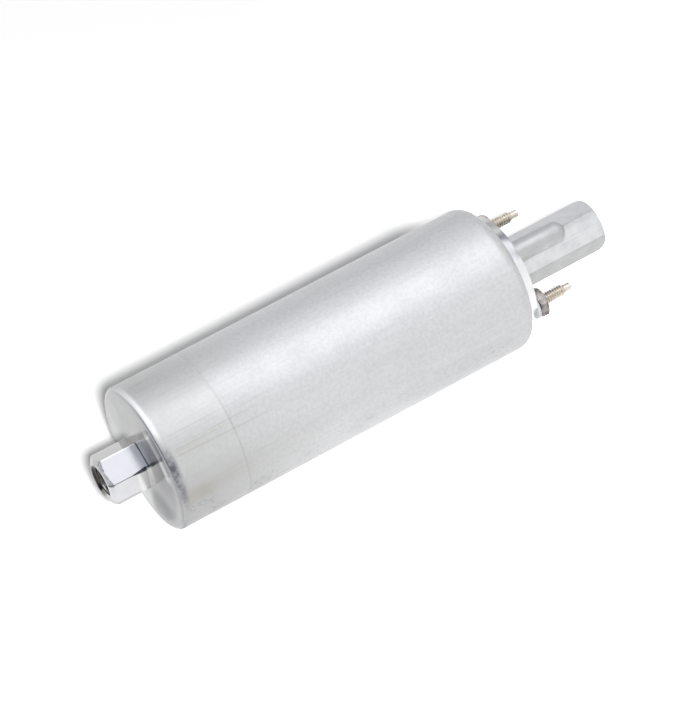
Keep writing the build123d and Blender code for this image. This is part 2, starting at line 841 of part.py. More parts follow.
with BuildPart() as negative_brush:
    brush(brush_places[1])
negative_brush.part.label = "negative_brush"
export_step(negative_brush.part, "parts/negative_brush.step")

with BuildPart() as positive_brush_spring:
    brush_spring(brush_places[0])
positive_brush_spring.part.label = "positive_brush_spring"
export_step(positive_brush_spring.part, "parts/positive_brush_spring.step")

with BuildPart() as negative_brush_spring:
    brush_spring(brush_places[1])
negative_brush_spring.part.label = "negative_brush_spring"
export_step(negative_brush_spring.part, "parts/negative_brush_spring.step")

# Each strap closes a brush box and carries current to the head of its stud.
with BuildPart() as contact_straps:
    strap_inner = brush_offset - guide_radial / 2 - brush_box_wall
    with BuildSketch(Plane.YZ.offset(strap_x)):
        for side in (1, -1):
            with Locations((side * (strap_inner + terminal_offset) / 2, 0)):
                Rectangle(terminal_offset - strap_inner, strap_width)
            with Locations((side * terminal_offset, 0)):
                Circle(strap_width / 2)
    extrude(amount=strap_thickness)
contact_straps.part.label = "contact_straps"
export_step(contact_straps.part, "parts/contact_straps.step")

# The outlet casting: a flange inside the shell, the round land outside it, the hexagon tube with
# the half-round rib on its upper corner, and the bores.
with BuildPart() as outlet_housing:
    turned(
        [
            (recess_x, 0),
            (recess_x, holder_ring_bore),
            (flange_rear_x, holder_ring_bore),
            (flange_rear_x, housing_radius),
            (half_straight - slip_gap, housing_radius),
            (flange_front_x, rim_centre_radius),
            (flange_front_x, land_radius),
            (land_x - land_edge, land_radius),
            (land_x, land_radius - land_edge),
            (land_x, 0),
        ]
    )
    with BuildSketch(Plane.YZ.offset(land_x)) as outlet_hexagon:
        RegularPolygon(hexagon_radius, 6, rotation=90)
        fillet(outlet_hexagon.vertices(), outlet_tube_corner)
    extrude(amount=outlet_tube_length)
    fillet(outlet_housing.faces().sort_by(Axis.X)[-1].edges(), outlet_tube_edge)
    rib_end_x = land_x + rib_length
    rib_tip_x = rib_end_x + rib_radius
    rib_axis = Axis((0, 0, rib_height), (1, 0, 0))
    with BuildSketch(Plane(origin=(0, 0, rib_height), x_dir=(1, 0, 0), z_dir=(0, 0, 1))):
        with BuildLine():
            Polyline((rib_end_x, rib_radius), (land_x, rib_radius), (land_x, 0), (rib_tip_x, 0))
            RadiusArc((rib_end_x, rib_radius), (rib_tip_x, 0), rib_radius)
        make_face()
    revolve(axis=rib_axis)
    rod(recess_x, chamber_end_x, valve_chamber_radius, mode=Mode.SUBTRACT)
    rod(chamber_end_x, outlet_end_x, passage_radius, mode=Mode.SUBTRACT)
    rod(outlet_end_x - port_depth, outlet_end_x, port_radius, mode=Mode.SUBTRACT)
    turned(
        [
            (outlet_end_x, 0),
            (outlet_end_x, port_mouth_radius),
            (outlet_end_x - port_mouth_depth, port_radius),
            (outlet_end_x - port_mouth_depth, 0),
        ],
        Mode.SUBTRACT,
    )
    rod(recess_x, bush_x, terminal_seal_radius + air_gap, terminal_places, Mode.SUBTRACT)
    rod(bush_x, land_x, insulator_shank_radius + air_gap, terminal_places, Mode.SUBTRACT)
    cap_groove_x = flange_rear_x + end_cap_groove_inset
    ring(
        cap_groove_x,
        cap_groove_x + seal_groove_width,
        groove_radius,
        housing_radius + cut_over,
        Mode.SUBTRACT,
    )
outlet_housing.part.label = "outlet_housing"
export_step(outlet_housing.part, "parts/outlet_housing.step")

with BuildPart() as end_cap_seal:
    ring(
        cap_groove_x + seal_clear,
        cap_groove_x + seal_groove_width - seal_clear,
        groove_radius + press_gap,
        shell_bore - press_gap,
    )
end_cap_seal.part.label = "end_cap_seal"
export_step(end_cap_seal.part, "parts/end_cap_seal.step")


def stud(place):
    """A terminal stud: head, shank at the pitch radius as far as the nut reaches, free thread at
    the major radius, taper and pilot tip."""
    taper_x = thread_end_x
    pilot_x = taper_x + stud_taper_length
    tip_x = pilot_x + stud_pilot_length
    turned(
        [
            (stud_x, 0),
            (stud_x, stud_head_radius),
            (stud_seal_x, stud_head_radius),
            (stud_seal_x, stud_shank_radius),
            (nut_x + nut_height, stud_shank_radius),
            (nut_x + nut_height, stud_radius),
            (taper_x, stud_radius),
            (pilot_x, stud_pilot_radius),
            (tip_x, stud_pilot_radius),
            (tip_x, 0),
        ],
        place=place,
    )


with BuildPart() as positive_stud:
    stud(terminal_places[0])
positive_stud.part.label = "positive_stud"
export_step(positive_stud.part, "parts/positive_stud.step")

with BuildPart() as negative_stud:
    stud(terminal_places[1])
negative_stud.part.label = "negative_stud"
export_step(negative_stud.part, "parts/negative_stud.step")

# A rubber ring seals each stud in the casting and keeps its head clear of the metal.
with BuildPart() as terminal_seals:
    rod(stud_seal_x, bush_x, terminal_seal_radius, terminal_places)
    rod(stud_seal_x, bush_x, stud_shank_radius + press_gap, terminal_places, Mode.SUBTRACT)
terminal_seals.part.label = "terminal_seals"
export_step(terminal_seals.part, "parts/terminal_seals.step")

with BuildPart() as terminal_insulators:
    rod(bush_x, land_x, insulator_shank_radius, terminal_places)
    rod(land_x, nut_x, insulator_flange_radius, terminal_places)
    rod(bush_x, nut_x, stud_shank_radius + air_gap, terminal_places, Mode.SUBTRACT)
terminal_insulators.part.label = "terminal_insulators"
export_step(terminal_insulators.part, "parts/terminal_insulators.step")

with BuildPart() as terminal_nuts:
    nut_radius = nut_across_flats / math.sqrt(3)
    with BuildSketch(Plane.YZ.offset(nut_x)):
        with Locations(*terminal_places):
            RegularPolygon(nut_radius, 6, rotation=nut_turn)
    extrude(amount=nut_height)
    rod(
        nut_x,
        nut_x + nut_height,
        stud_shank_radius + air_gap,
        terminal_places,
        Mode.SUBTRACT,
    )
terminal_nuts.part.label = "terminal_nuts"
export_step(terminal_nuts.part, "parts/terminal_nuts.step")

# The check valve opens towards the outlet port: seat, poppet with its rubber face, spring, guide.
with BuildPart() as check_valve_seat:
    valve_bore_fit = valve_chamber_radius - air_gap
    ring(valve_seat_x, valve_face_x, valve_seat_bore, valve_bore_fit)
check_valve_seat.part.label = "check_valve_seat"
export_step(check_valve_seat.part, "parts/check_valve_seat.step")

with BuildPart() as check_valve_poppet:
    valve_stem_x = valve_head_x + valve_head_thickness
    turned(
        [
            (valve_face_x - valve_lip_thickness, 0),
            (valve_face_x - valve_lip_thickness, valve_lip_radius),
            (valve_face_x, valve_lip_radius),
            (valve_face_x, valve_nose_radius),
            (valve_head_x, valve_nose_radius),
            (valve_head_x, valve_head_radius),
            (valve_stem_x - valve_head_edge, valve_head_radius),
            (valve_stem_x, valve_head_radius - valve_head_edge),
            (valve_stem_x, valve_stem_radius),
            (valve_stem_x + valve_stem_length, valve_stem_radius),
            (valve_stem_x + valve_stem_length, 0),
        ]
    )
check_valve_poppet.part.label = "check_valve_poppet"
export_step(check_valve_poppet.part, "parts/check_valve_poppet.step")

with BuildPart() as check_valve_seal:
    ring(valve_face_x, valve_head_x, valve_nose_radius + press_gap, valve_seal_radius)
check_valve_seal.part.label = "check_valve_seal"
export_step(check_valve_seal.part, "parts/check_valve_seal.step")

with BuildPart() as check_valve_spring:
    ring(valve_stem_x, guide_hub_x, valve_spring_radius - valve_wire, valve_spring_radius)
check_valve_spring.part.label = "check_valve_spring"
export_step(check_valve_spring.part, "parts/check_valve_spring.step")

with BuildPart() as check_valve_guide:
    guide_hub_end_x = guide_hub_x + guide_hub_length
    rod(guide_hub_x, guide_hub_end_x, guide_hub_radius)
    ring(guide_ring_x, chamber_end_x, valve_bore_fit - guide_ring_wall, valve_bore_fit)
    arm_span = valve_bore_fit - guide_ring_wall / 2
    with BuildSketch(Plane.YZ.offset(guide_ring_x)):
        with PolarLocations(arm_span / 2, guide_arms, start_angle=90):
            Rectangle(arm_span, guide_arm_width)
    extrude(amount=guide_hub_end_x - guide_ring_x)
    rod(
        guide_hub_x,
        guide_hub_end_x,
        valve_stem_radius + air_gap,
        mode=Mode.SUBTRACT,
    )
check_valve_guide.part.label = "check_valve_guide"
export_step(check_valve_guide.part, "parts/check_valve_guide.step")
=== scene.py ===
import math

import bmesh
import bpy
from mathutils import Matrix, Vector


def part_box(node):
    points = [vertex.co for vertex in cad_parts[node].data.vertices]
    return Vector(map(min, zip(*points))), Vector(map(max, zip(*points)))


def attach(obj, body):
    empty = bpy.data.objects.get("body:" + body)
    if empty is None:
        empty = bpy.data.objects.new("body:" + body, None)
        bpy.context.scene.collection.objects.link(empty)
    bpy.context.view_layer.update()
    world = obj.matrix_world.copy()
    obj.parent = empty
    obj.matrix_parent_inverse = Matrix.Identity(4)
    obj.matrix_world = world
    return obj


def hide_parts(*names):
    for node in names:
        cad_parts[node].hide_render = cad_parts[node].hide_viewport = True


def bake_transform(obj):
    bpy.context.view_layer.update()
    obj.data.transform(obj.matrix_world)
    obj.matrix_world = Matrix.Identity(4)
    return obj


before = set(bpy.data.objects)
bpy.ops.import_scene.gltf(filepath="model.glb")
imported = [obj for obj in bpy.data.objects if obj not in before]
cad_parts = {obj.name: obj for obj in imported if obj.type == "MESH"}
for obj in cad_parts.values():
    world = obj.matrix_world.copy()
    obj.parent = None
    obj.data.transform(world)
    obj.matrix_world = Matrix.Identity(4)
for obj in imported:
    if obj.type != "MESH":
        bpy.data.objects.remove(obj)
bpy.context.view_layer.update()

# The drawn can
# An aluminium can, drawn from sheet: its inlet end is closed and slightly domed, and its other rim
# is rolled over the end cap. It holds everything together and stays unpainted.
mm = 0.001
can_radius = 22.5
can_wall = 1.2
can_corner = 1.6
can_rise = 1.1
can_flat_radius = 9.0
can_flat_edge = 0.6
can_hole_radius = 6.1
can_half_length = 56.8
can_rim_corner = 4.7
can_rim_lip = 0.5
can_lip_round = 0.15
can_lip_crown = 0.03
can_seam = -36.4
can_seam_lead = 12.0
can_seam_floor = 0.15
can_seam_edge = 0.5
can_seam_depth = 0.05
can_turns = 192
dome_width = 11.1
dome_curve = 1.3
dome_shares = (0.1, 0.3, 0.5, 0.7, 0.85, 0.95)


def wrapped_skin(name, rows, turns, centre=(0.0, 0.0), closed=True):
    """A skin wrapped round an axis along X: rows of (x, outline), where outline is a radius or
    gives one for an angle, and 0 is a point. Closed joins the last row to the first."""
    builder = bmesh.new()
    rings = []
    for station, outline in rows:
        if outline == 0:
            rings.append([builder.verts.new((station * mm, centre[0] * mm, centre[1] * mm))])
            continue
        ring = []
        for turn in range(turns):
            angle = 2 * math.pi * turn / turns
            reach = outline(angle) if callable(outline) else outline
            across = centre[0] + reach * math.cos(angle)
            up = centre[1] + reach * math.sin(angle)
            ring.append(builder.verts.new((station * mm, across * mm, up * mm)))
        rings.append(ring)
    pairs = list(zip(rings, rings[1:]))
    if closed:
        pairs.append((rings[-1], rings[0]))
    for near, far in pairs:
        for turn in range(turns):
            after = (turn + 1) % turns
            if len(near) == 1 and len(far) > 1:
                builder.faces.new((near[0], far[after], far[turn]))
            elif len(far) == 1 and len(near) > 1:
                builder.faces.new((near[turn], near[after], far[0]))
            elif len(near) > 1:
                builder.faces.new((near[turn], near[after], far[after], far[turn]))
    bmesh.ops.recalc_face_normals(builder, faces=builder.faces)
    mesh = bpy.data.meshes.new(name)
    builder.to_mesh(mesh)
    builder.free()
    return mesh


def arc_rows(centre_x, centre_radius, radius, start, end, steps):
    """Rows of (x, radius) along an arc of an outline, its angles in degrees from +X to outward."""
    rows = []
    for step in range(steps + 1):
        angle = math.radians(start + (end - start) * step / steps)
        along = centre_x + radius * math.cos(angle)
        rows.append((along, centre_radius + radius * math.sin(angle)))
    return rows


def placed(name, mesh, crease):
    """An object of that mesh, smooth except at edges sharper than crease degrees."""
    for face in mesh.polygons:
        face.use_smooth = True
    mesh.set_sharp_from_angle(angle=math.radians(crease))
    piece = bpy.data.objects.new(name, mesh)
    bpy.context.scene.collection.objects.link(piece)
    return piece


end_x = -can_half_length - can_corner
face_x = end_x - can_rise
rim_x = can_half_length + can_rim_corner
rim_radius = can_radius - can_rim_corner
lip_radius = rim_radius - can_rim_lip
seam_radius = can_radius - can_seam_depth
inner_radius = can_radius - can_wall
can_rows = [(face_x, can_hole_radius), (face_x, can_flat_radius - can_flat_edge)]
for share in dome_shares:
    can_rows.append((face_x + can_rise * share**dome_curve, can_flat_radius + dome_width * share))
can_rows += arc_rows(-can_half_length, can_radius - can_corner, can_corner, 176, 90, 12)
can_rows += [(can_seam - can_seam_lead, can_radius), (can_seam - can_seam_edge, can_radius)]
can_rows += [(can_seam - can_seam_floor, seam_radius), (can_seam + can_seam_floor, seam_radius)]
can_rows += [(can_seam + can_seam_edge, can_radius)]
can_rows += [(station, can_radius) for station in (-20.0, 0.0, 20.0, 40.0)]
for start, end, steps in ((90, 52, 12), (49, 15, 1), (12, 0, 2)):
    can_rows += arc_rows(can_half_length, rim_radius, can_rim_corner, start, end, steps)
can_rows += [(rim_x - can_lip_crown, lip_radius + can_lip_round)]
can_rows += [(rim_x - can_lip_round, lip_radius), (rim_x - can_wall, lip_radius)]
can_rows += [(rim_x - can_wall, rim_radius)]
can_rows += [(can_half_length, inner_radius), (end_x + can_wall, inner_radius)]
can_rows += [(face_x + can_wall, can_flat_radius), (face_x + can_wall, can_hole_radius)]
can = placed("pump_can", wrapped_skin("pump_can", can_rows, can_turns), 50.0)


class Steps:
    """Adds steps to a node tree. Each method makes its nodes and returns the last one's output, and
    takes as a value a number, a colour or another step's output."""

    def __init__(self, tree):
        self.tree = tree

    def give(self, socket, value):
        """Sets the socket to a number or a colour, or links another step's output to it."""
        if isinstance(value, tuple):
            socket.default_value = (*value, 1)
        elif isinstance(value, (int, float)):
            socket.default_value = value
        else:
            self.tree.links.new(value, socket)

    def math(self, kind, first, second=0):
        """One Math node of that kind on one value or two."""
        step = self.tree.nodes.new("ShaderNodeMath")
        step.operation = kind
        self.give(step.inputs[0], first)
        self.give(step.inputs[1], second)
        return step.outputs[0]

    def times(self, first, *others):
        """The product of all the values."""
        for other in others:
            first = self.math("MULTIPLY", first, other)
        return first

    def most(self, first, *others):
        """The highest of the values."""
        for other in others:
            first = self.math("MAXIMUM", first, other)
        return first

    def plus(self, first, second):
        """The sum of two values."""
        return self.math("ADD", first, second)

    def off(self, value, centre):
        """How far the value is from centre, on either side."""
        return self.math("ABSOLUTE", self.plus(value, -centre))

    def squares(self, first, second):
        """The sum of the squares of two values."""
        return self.plus(self.math("POWER", first, 2), self.math("POWER", second, 2))

    def fade(self, value, low, high, low_to, high_to):
        """The value from low to high, spread over low_to to high_to and held at its ends."""
        spread = self.tree.nodes.new("ShaderNodeMapRange")
        spread.interpolation_type = "SMOOTHSTEP"
        names = ("Value", "From Min", "From Max", "To Min", "To Max")
        for name, setting in zip(names, (value, low, high, low_to, high_to)):
            self.give(spread.inputs[name], setting)
        return spread.outputs["Result"]

    def rise(self, value, low, high):
        """0 where the value is under low, and 1 where it is over high."""
        return self.fade(value, low, high, 0.0, 1.0)

    def fall(self, value, low, high):
        """1 where the value is under low, and 0 where it is over high."""
        return self.fade(value, low, high, 1.0, 0.0)

    def between(self, value, low, full, back, end):
        """1 where the value is from full to back, and 0 under low and over end."""
        return self.times(self.rise(value, low, full), self.fall(value, back, end))

    def noise(self, scale, detail, roughness, stretch=(1, 1, 1), shift=(0, 0, 0)):
        """A noise on the piece's own coordinates, in metres times stretch, of about 0 to 1."""
        place = self.tree.nodes.new("ShaderNodeTexCoord")
        mapping = self.tree.nodes.new("ShaderNodeMapping")
        mapping.inputs["Scale"].default_value = stretch
        mapping.inputs["Location"].default_value = shift
        noise = self.tree.nodes.new("ShaderNodeTexNoise")
        noise.inputs["Scale"].default_value = scale
        noise.inputs["Detail"].default_value = detail
        noise.inputs["Roughness"].default_value = roughness
        self.tree.links.new(place.outputs["Object"], mapping.inputs["Vector"])
        self.tree.links.new(mapping.outputs["Vector"], noise.inputs["Vector"])
        return noise.outputs["Fac"]

    def place(self, kind="Object"):
        """X, Y and Z of the coordinates of that kind, the piece's own in metres unless named."""
        place = self.tree.nodes.new("ShaderNodeTexCoord")
        apart = self.tree.nodes.new("ShaderNodeSeparateXYZ")
        self.tree.links.new(place.outputs[kind], apart.inputs[0])
        return apart.outputs

    def angle(self, across, up):
        """The angle round the piece's axis in radians: 0 at +Y, 1.57 on top and 3.14 at -Y."""
        turned = self.times(across, -1)
        return self.plus(self.math("ARCTAN2", turned, up), math.pi / 2)

    def tint(self, amount, base, over):
        """base with the colour over laid on it by amount."""
        mix = self.tree.nodes.new("ShaderNodeMix")
        mix.data_type = "RGBA"
        self.give(mix.inputs[0], amount)
        self.give(mix.inputs[6], base)
        self.give(mix.inputs[7], over)
        return mix.outputs[2]

    def marks(self, colour, *rows):
        """The colour with marks laid on it in their order: rows of (where, strength, tone)."""
        for where, strength, tone in rows:
            amount = where if strength == 1 else self.times(where, strength)
            colour = self.tint(amount, colour, tone)
        return colour


class Finish(Steps):
    """A new material with its nodes and its shader."""

    def __init__(self, name, metallic=0.0):
        self.material = bpy.data.materials.new(name)
        self.material.use_nodes = True
        super().__init__(self.material.node_tree)
        self.shader = self.tree.nodes["Principled BSDF"]
        self.set("Metallic", metallic)

    def set(self, name, value):
        """Gives the shader's socket of that name a number, a colour or a step's output."""
        self.give(self.shader.inputs[name], value)

    def bump(self, height, strength, distance):
        """A bump of that height on the shader, laid over any bump it already has."""
        bump = self.tree.nodes.new("ShaderNodeBump")
        bump.inputs["Strength"].default_value = strength
        bump.inputs["Distance"].default_value = distance
        self.give(bump.inputs["Height"], height)
        before = self.shader.inputs["Normal"].links
        if before:
            self.give(bump.inputs["Normal"], before[0].from_socket)
        self.set("Normal", bump.outputs["Normal"])


# The can's metal is bright drawn aluminium, dulled by handling: fine marks along it and a cloudy
# and grainy tone. It is darker towards the inlet end. Places along it are in metres and round it in
# radians.
metal = Finish("drawn_aluminium", 0.85)
metal.set("Specular IOR Level", 0.4)
at_x, at_y, at_z = metal.place()
around = metal.angle(at_y, at_z)
drawn = metal.noise(1.0, 4.0, 0.6, stretch=(40, 1400, 1400))
broad = metal.noise(1.0, 3.0, 0.5, stretch=(14, 170, 170))
cloud = metal.noise(75, 5.0, 0.62)
grain = metal.noise(2400, 3.0, 0.6)
fleck = metal.noise(900, 2.0, 0.7, stretch=(0.6, 1, 1))
mottle = metal.noise(950, 3.0, 0.65)
speckle = metal.noise(420, 4.0, 0.7)
blotch = metal.noise(130, 3.0, 0.5)
dent = metal.noise(55, 2.0, 0.4)
sheet = metal.tint(metal.rise(drawn, 0.32, 0.72), (0.675, 0.68, 0.69), (0.715, 0.715, 0.72))
sheet = metal.marks(
    sheet,
    (metal.rise(broad, 0.5, 0.75), 0.2, (0.50, 0.505, 0.52)),
    (metal.rise(cloud, 0.5, 0.72), 0.35, (0.68, 0.68, 0.68)),
    (metal.rise(grain, 0.60, 0.75), 0.35, (0.48, 0.48, 0.49)),
    (metal.rise(mottle, 0.42, 0.62), 0.24, (0.50, 0.50, 0.505)),
    (metal.fall(at_x, -0.058, -0.015), 0.5, (0.50, 0.50, 0.49)),
)

# The wear: streaks along the inlet end, the line left by the drawing die, and a stain and scuffs
# low on the side. Round the inlet corner are a painted dark reflection and, on top, a painted
# highlight.
streak = metal.noise(1.0, 2.0, 0.6, stretch=(18, 1150, 1150), shift=(0.3, 0, 0))
streak = metal.times(metal.rise(streak, 0.57, 0.70), metal.fade(at_x, -0.034, -0.018, 1.0, 0.15))
streak = metal.times(streak, metal.rise(at_x, -0.0565, -0.0530))
seam = metal.fade(metal.off(at_x, can_seam * mm), 0.0001, 0.0005, 0.35, 0.0)
seam = metal.times(seam, metal.fade(around, 1.2, 1.9, 0.25, 1.0))
stain = metal.fall(metal.off(around, 2.72), 0.02, 0.16)
stain = metal.times(stain, metal.fall(at_x, -0.050, -0.028), metal.rise(at_x, -0.0575, -0.0560))
stain = metal.times(stain, metal.fade(cloud, 0.36, 0.60, 0.3, 1.0))
scuff = metal.fall(metal.off(around, 3.2), 0.15, 0.5)
scuff = metal.times(scuff, metal.fade(at_x, -0.045, -0.02, 1.0, 0.25))
scuff = metal.times(scuff, metal.rise(fleck, 0.50, 0.62), metal.rise(cloud, 0.42, 0.55))
# Painted reflections on the inlet corner: a dark band lower down and a highlight on top.
corner = metal.between(at_x, -0.0584, -0.0577, -0.0569, -0.0548)
corner_dark_reflection = metal.times(corner, metal.fade(speckle, 0.35, 0.6, 0.45, 0.95))
corner_dark_reflection = metal.times(corner_dark_reflection, metal.rise(around, 1.8, 2.25), metal.fade(around, 2.65, 2.9, 1.0, 0.15))
corner_highlight = metal.times(metal.between(around, 0.55, 1.2, 1.6, 1.95), metal.fall(at_x, -0.0570, -0.0558))
sheet = metal.marks(
    sheet,
    (streak, 0.42, (0.47, 0.455, 0.40)),
    (seam, 1, (0.42, 0.42, 0.42)),
    (stain, 0.6, (0.42, 0.37, 0.25)),
    (scuff, 0.62, (0.20, 0.20, 0.205)),
    (corner_dark_reflection, 1, (0.12, 0.12, 0.15)),
    (metal.times(corner, corner_highlight), 1, (0.90, 0.90, 0.91)),
)

# The inlet face is blotched, and its grey tone is partly a painted reflection, with painted dark
# reflections beside the fitting and low down and a painted highlight at its upper edge. A darker
# line goes round it, and painted shade darkens the can's low side.
# Painted reflections on the inlet face: dark beside the fitting and low down, bright at the upper
# edge.
painted_dark_reflection = (0.03, 0.032, 0.04)
low_face_reflection = metal.times(metal.fall(at_z, -0.0085, 0.0015), metal.fall(at_y, -0.0100, -0.0055))
from_axis = metal.math("SQRT", metal.squares(at_y, at_z))
upper_edge_highlight = metal.times(metal.rise(from_axis, 0.0162, 0.0180), metal.rise(around, 1.50, 1.72))
upper_edge_highlight = metal.times(upper_edge_highlight, metal.fall(around, 2.25, 2.60))
end_tone = metal.tint(metal.rise(blotch, 0.38, 0.62), (0.36, 0.365, 0.37), (0.43, 0.43, 0.42))
end_tone = metal.marks(
    end_tone,
    (metal.fall(at_y, -0.012, -0.002), 0.75, (0.21, 0.21, 0.215)),
    (low_face_reflection, 0.85, painted_dark_reflection),
    (upper_edge_highlight, 0.85, (0.90, 0.90, 0.88)),
)
# Painted dark reflection where the low part of the face meets the corner.
low_edge_reflection = metal.times(low_face_reflection, metal.fade(at_x, -0.0576, -0.0568, 0.75, 0.0))
# A darker line round the edge of the inlet face, stronger on its lower side.
face_edge_line = metal.between(at_x, -0.05865, -0.0584, -0.0581, -0.0577)
face_edge_line = metal.times(face_edge_line, metal.fade(around, 1.5, 1.8, 0.55, 0.8))
# Painted shade on the can's low side, strongest at the inlet end.
low_side_painted_shade = metal.fall(at_y, -0.0215, -0.0140)
low_side_painted_shade = metal.times(low_side_painted_shade, metal.fade(at_x, -0.050, -0.005, 0.55, 0.12))
sheet = metal.marks(
    sheet,
    (metal.fall(at_x, -0.0586, -0.0583), 1, end_tone),
    (low_edge_reflection, 1, painted_dark_reflection),
    (face_edge_line, 1, (0.26, 0.26, 0.28)),
    (low_side_painted_shade, 1, (0.38, 0.38, 0.38)),
)
metal.set("Base Color", sheet)
rough = metal.fade(cloud, 0.3, 0.7, 0.45, 0.54)
rough = metal.plus(rough, metal.fade(drawn, 0.3, 0.7, -0.02, 0.03))
polished = metal.fade(metal.fall(at_x, -0.05815, -0.0575), 0.0, 1.0, 1.0, 0.38)
metal.set("Roughness", metal.times(rough, polished))
metal.bump(drawn, 0.08, 0.00004)
metal.bump(grain, 0.2, 0.00002)
metal.bump(dent, 0.25, 0.0002)
can.data.materials.append(metal.material)
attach(can, "root")
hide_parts("pump_shell")

# The inlet fitting
# A hexagon union turned and milled from steel bar and bright plated. Its free end is turned to a
# cone, its port has an M10 thread, and its round shank goes through the can into the housing.
fitting_end = -72.2
fitting_turn = 11.0
fitting_flats = 14.0
fitting_corner = 0.25
fitting_cone_radius = 5.75
fitting_cone_reach = 8.2
fitting_cone_steps = 8
hexagon_end = face_x - 0.18
neck_start = face_x - 0.17
neck_end = face_x - 0.02
neck_radius = 6.2
upper_flat_start = 1.24
upper_flat_end = 2.28
shank_radius = 6.0
shank_end = -50.0
shank_chamfer = 0.3
port_radius = 4.46
port_mouth = 5.4
port_depth = 10.0
port_thread_start = 0.9
port_thread_end = 9.4
port_thread_depth = 0.5
port_pitch = 1.0
port_countersink = 0.8
mouth_edge = 0.08
mouth_edge_depth = 0.06
cone_edge_depth = 0.02
passage_radius = 3.5


def bar_outline(flats, corner, turn, cone=None):
    """The outline of hexagon bar with rounded corners, cut down to the radius cone where given."""
    inner = flats / 2 - corner
    hub = inner / math.cos(math.radians(30))

    def outline(angle):
        local = (angle - math.radians(turn)) % math.radians(60) - math.radians(30)
        reach = flats / 2 / math.cos(local)
        off = math.radians(30) - abs(local)
        side = corner**2 - (hub * math.sin(off)) ** 2
        if side > 0:
            reach = min(reach, hub * math.cos(off) + math.sqrt(side))
        return reach if cone is None else min(reach, cone)

    return outline


def thread_rows(start, end, root, crest, pitch, steps=8, lead=1.0):
    """Rows of a right-hand V thread between two radii, from one station to another along X."""
    rows = []
    count = max(2, round(abs(end - start) / pitch * steps))
    for step in range(count + 1):
        station = start + (end - start) * step / count
        fade = min(1.0, min(step, count - step) / steps / lead)

        def outline(angle, station=station, fade=fade):
            phase = (station / pitch + angle / (2 * math.pi)) % 1.0
            wave = 0.5 - 0.5 * math.cos(2 * math.pi * phase)
            return root + (crest - root) * wave * fade

        rows.append((station, outline))
    return rows


def port_rows(mouth_x, inward):
    """Rows of a threaded port from its bottom out to its mouth at mouth_x. inward is 1 or -1."""
    bottom = mouth_x + inward * port_depth
    thread_from = mouth_x + inward * port_thread_end
    thread_to = mouth_x + inward * port_thread_start
    crest = port_radius + port_thread_depth
    rows = [(bottom, passage_radius), (bottom, port_radius)]
    rows += thread_rows(thread_from, thread_to, port_radius, crest, port_pitch)
    rows += [(mouth_x + inward * port_countersink, port_radius)]
    rows += [(mouth_x + inward * mouth_edge_depth, port_mouth), (mouth_x, port_mouth + mouth_edge)]
    return rows


hexagon = bar_outline(fitting_flats, fitting_corner, fitting_turn)


def neck_outline(angle):
    """The hexagon's outline at the can, cut back to its neck under the upper flat."""
    return neck_radius if upper_flat_start < angle < upper_flat_end else hexagon(angle)


slope = math.tan(math.radians(30))
fitting_rows = []
for step in range(fitting_cone_steps + 1):
    widening = (fitting_cone_reach - fitting_cone_radius) * step / fitting_cone_steps
    cone = fitting_cone_radius + widening
    coned = bar_outline(fitting_flats, fitting_corner, fitting_turn, cone)
    fitting_rows.append((fitting_end + widening * slope, coned))
fitting_rows += [(station, hexagon) for station in (-70.3, -66.0, hexagon_end)]
fitting_rows += [(neck_start, neck_outline), (neck_end, neck_outline)]
fitting_rows += [(neck_end, shank_radius), (shank_end - shank_chamfer, shank_radius)]
fitting_rows += [(shank_end, shank_radius - shank_chamfer), (shank_end, passage_radius)]
fitting_rows += port_rows(fitting_end, 1)
fitting_rows += [(fitting_end, fitting_cone_radius - mouth_edge)]
fitting_rows += [(fitting_end + cone_edge_depth, fitting_cone_radius)]
fitting = placed("inlet_union", wrapped_skin("inlet_union", fitting_rows, 192), 20.0)

# The plating is bright, with faint mill marks and smears. Painted shade darkens the port inside,
# and painted reflections make its mouth's low side and the hexagon's edges bright, the turned cone
# dark with bright streaks and each flat its own tone, with a dark wedge where the upper flat meets
# the can. square is the square of the distance from the axis.
plate = Finish("bright_plated_steel", 1.0)
mill = plate.noise(1.0, 3.0, 0.6, stretch=(2200, 60, 60))
smear = plate.noise(160, 3.0, 0.5)
at_x, at_y, at_z = plate.place()
around = plate.angle(at_y, at_z)
square = plate.squares(at_y, at_z)
# Painted shade inside the port and its mouth, and a painted highlight on the mouth's low side.
mouth = plate.times(plate.fall(at_x, -0.0715, -0.0713), plate.fall(square, 0.0000288, 0.0000296))
mouth_ring = plate.between(square, 0.0000290, 0.0000300, 0.0000370, 0.0000385)
mouth_ring = plate.times(mouth_ring, plate.fall(at_x, -0.0717, -0.0714))
mouth_ring = plate.times(mouth_ring, plate.rise(around, 1.0, 1.3))
# Painted highlight along the hexagon's corners on its upper side.
hexagon_edge_highlight = plate.times(plate.rise(square, 0.0000616, 0.0000634), plate.fall(around, 2.0, 2.1))
# Painted dark reflection on the turned cone, broken by bright streaks.
cone_radius = plate.times(plate.plus(at_x, -fitting_end * mm), 1.732)
cone_radius = plate.math("SUBTRACT", plate.math("SQRT", square), cone_radius)
cone_dark_reflection = plate.rise(cone_radius, 0.00558, 0.00568)
cone_dark_reflection = plate.times(cone_dark_reflection, plate.rise(square, 0.0000370, 0.0000385))
cone_dark_reflection = plate.times(cone_dark_reflection, plate.rise(around, 1.15, 1.25), plate.fall(around, 2.28, 2.42))
cone_reflection_streaks = plate.math("SINE", plate.times(around, 16.0))
cone_dark_reflection = plate.times(cone_dark_reflection, plate.fade(cone_reflection_streaks, 0.80, 0.95, 0.95, 0.1))
# Painted reflections give each flat its own tone, blue-grey on the upper flat near the can, and a
# painted highlight at the low flat's base.
top_flat = plate.between(around, 1.22, 1.27, 2.26, 2.31)
low_flat = plate.rise(around, 2.32, 2.38)
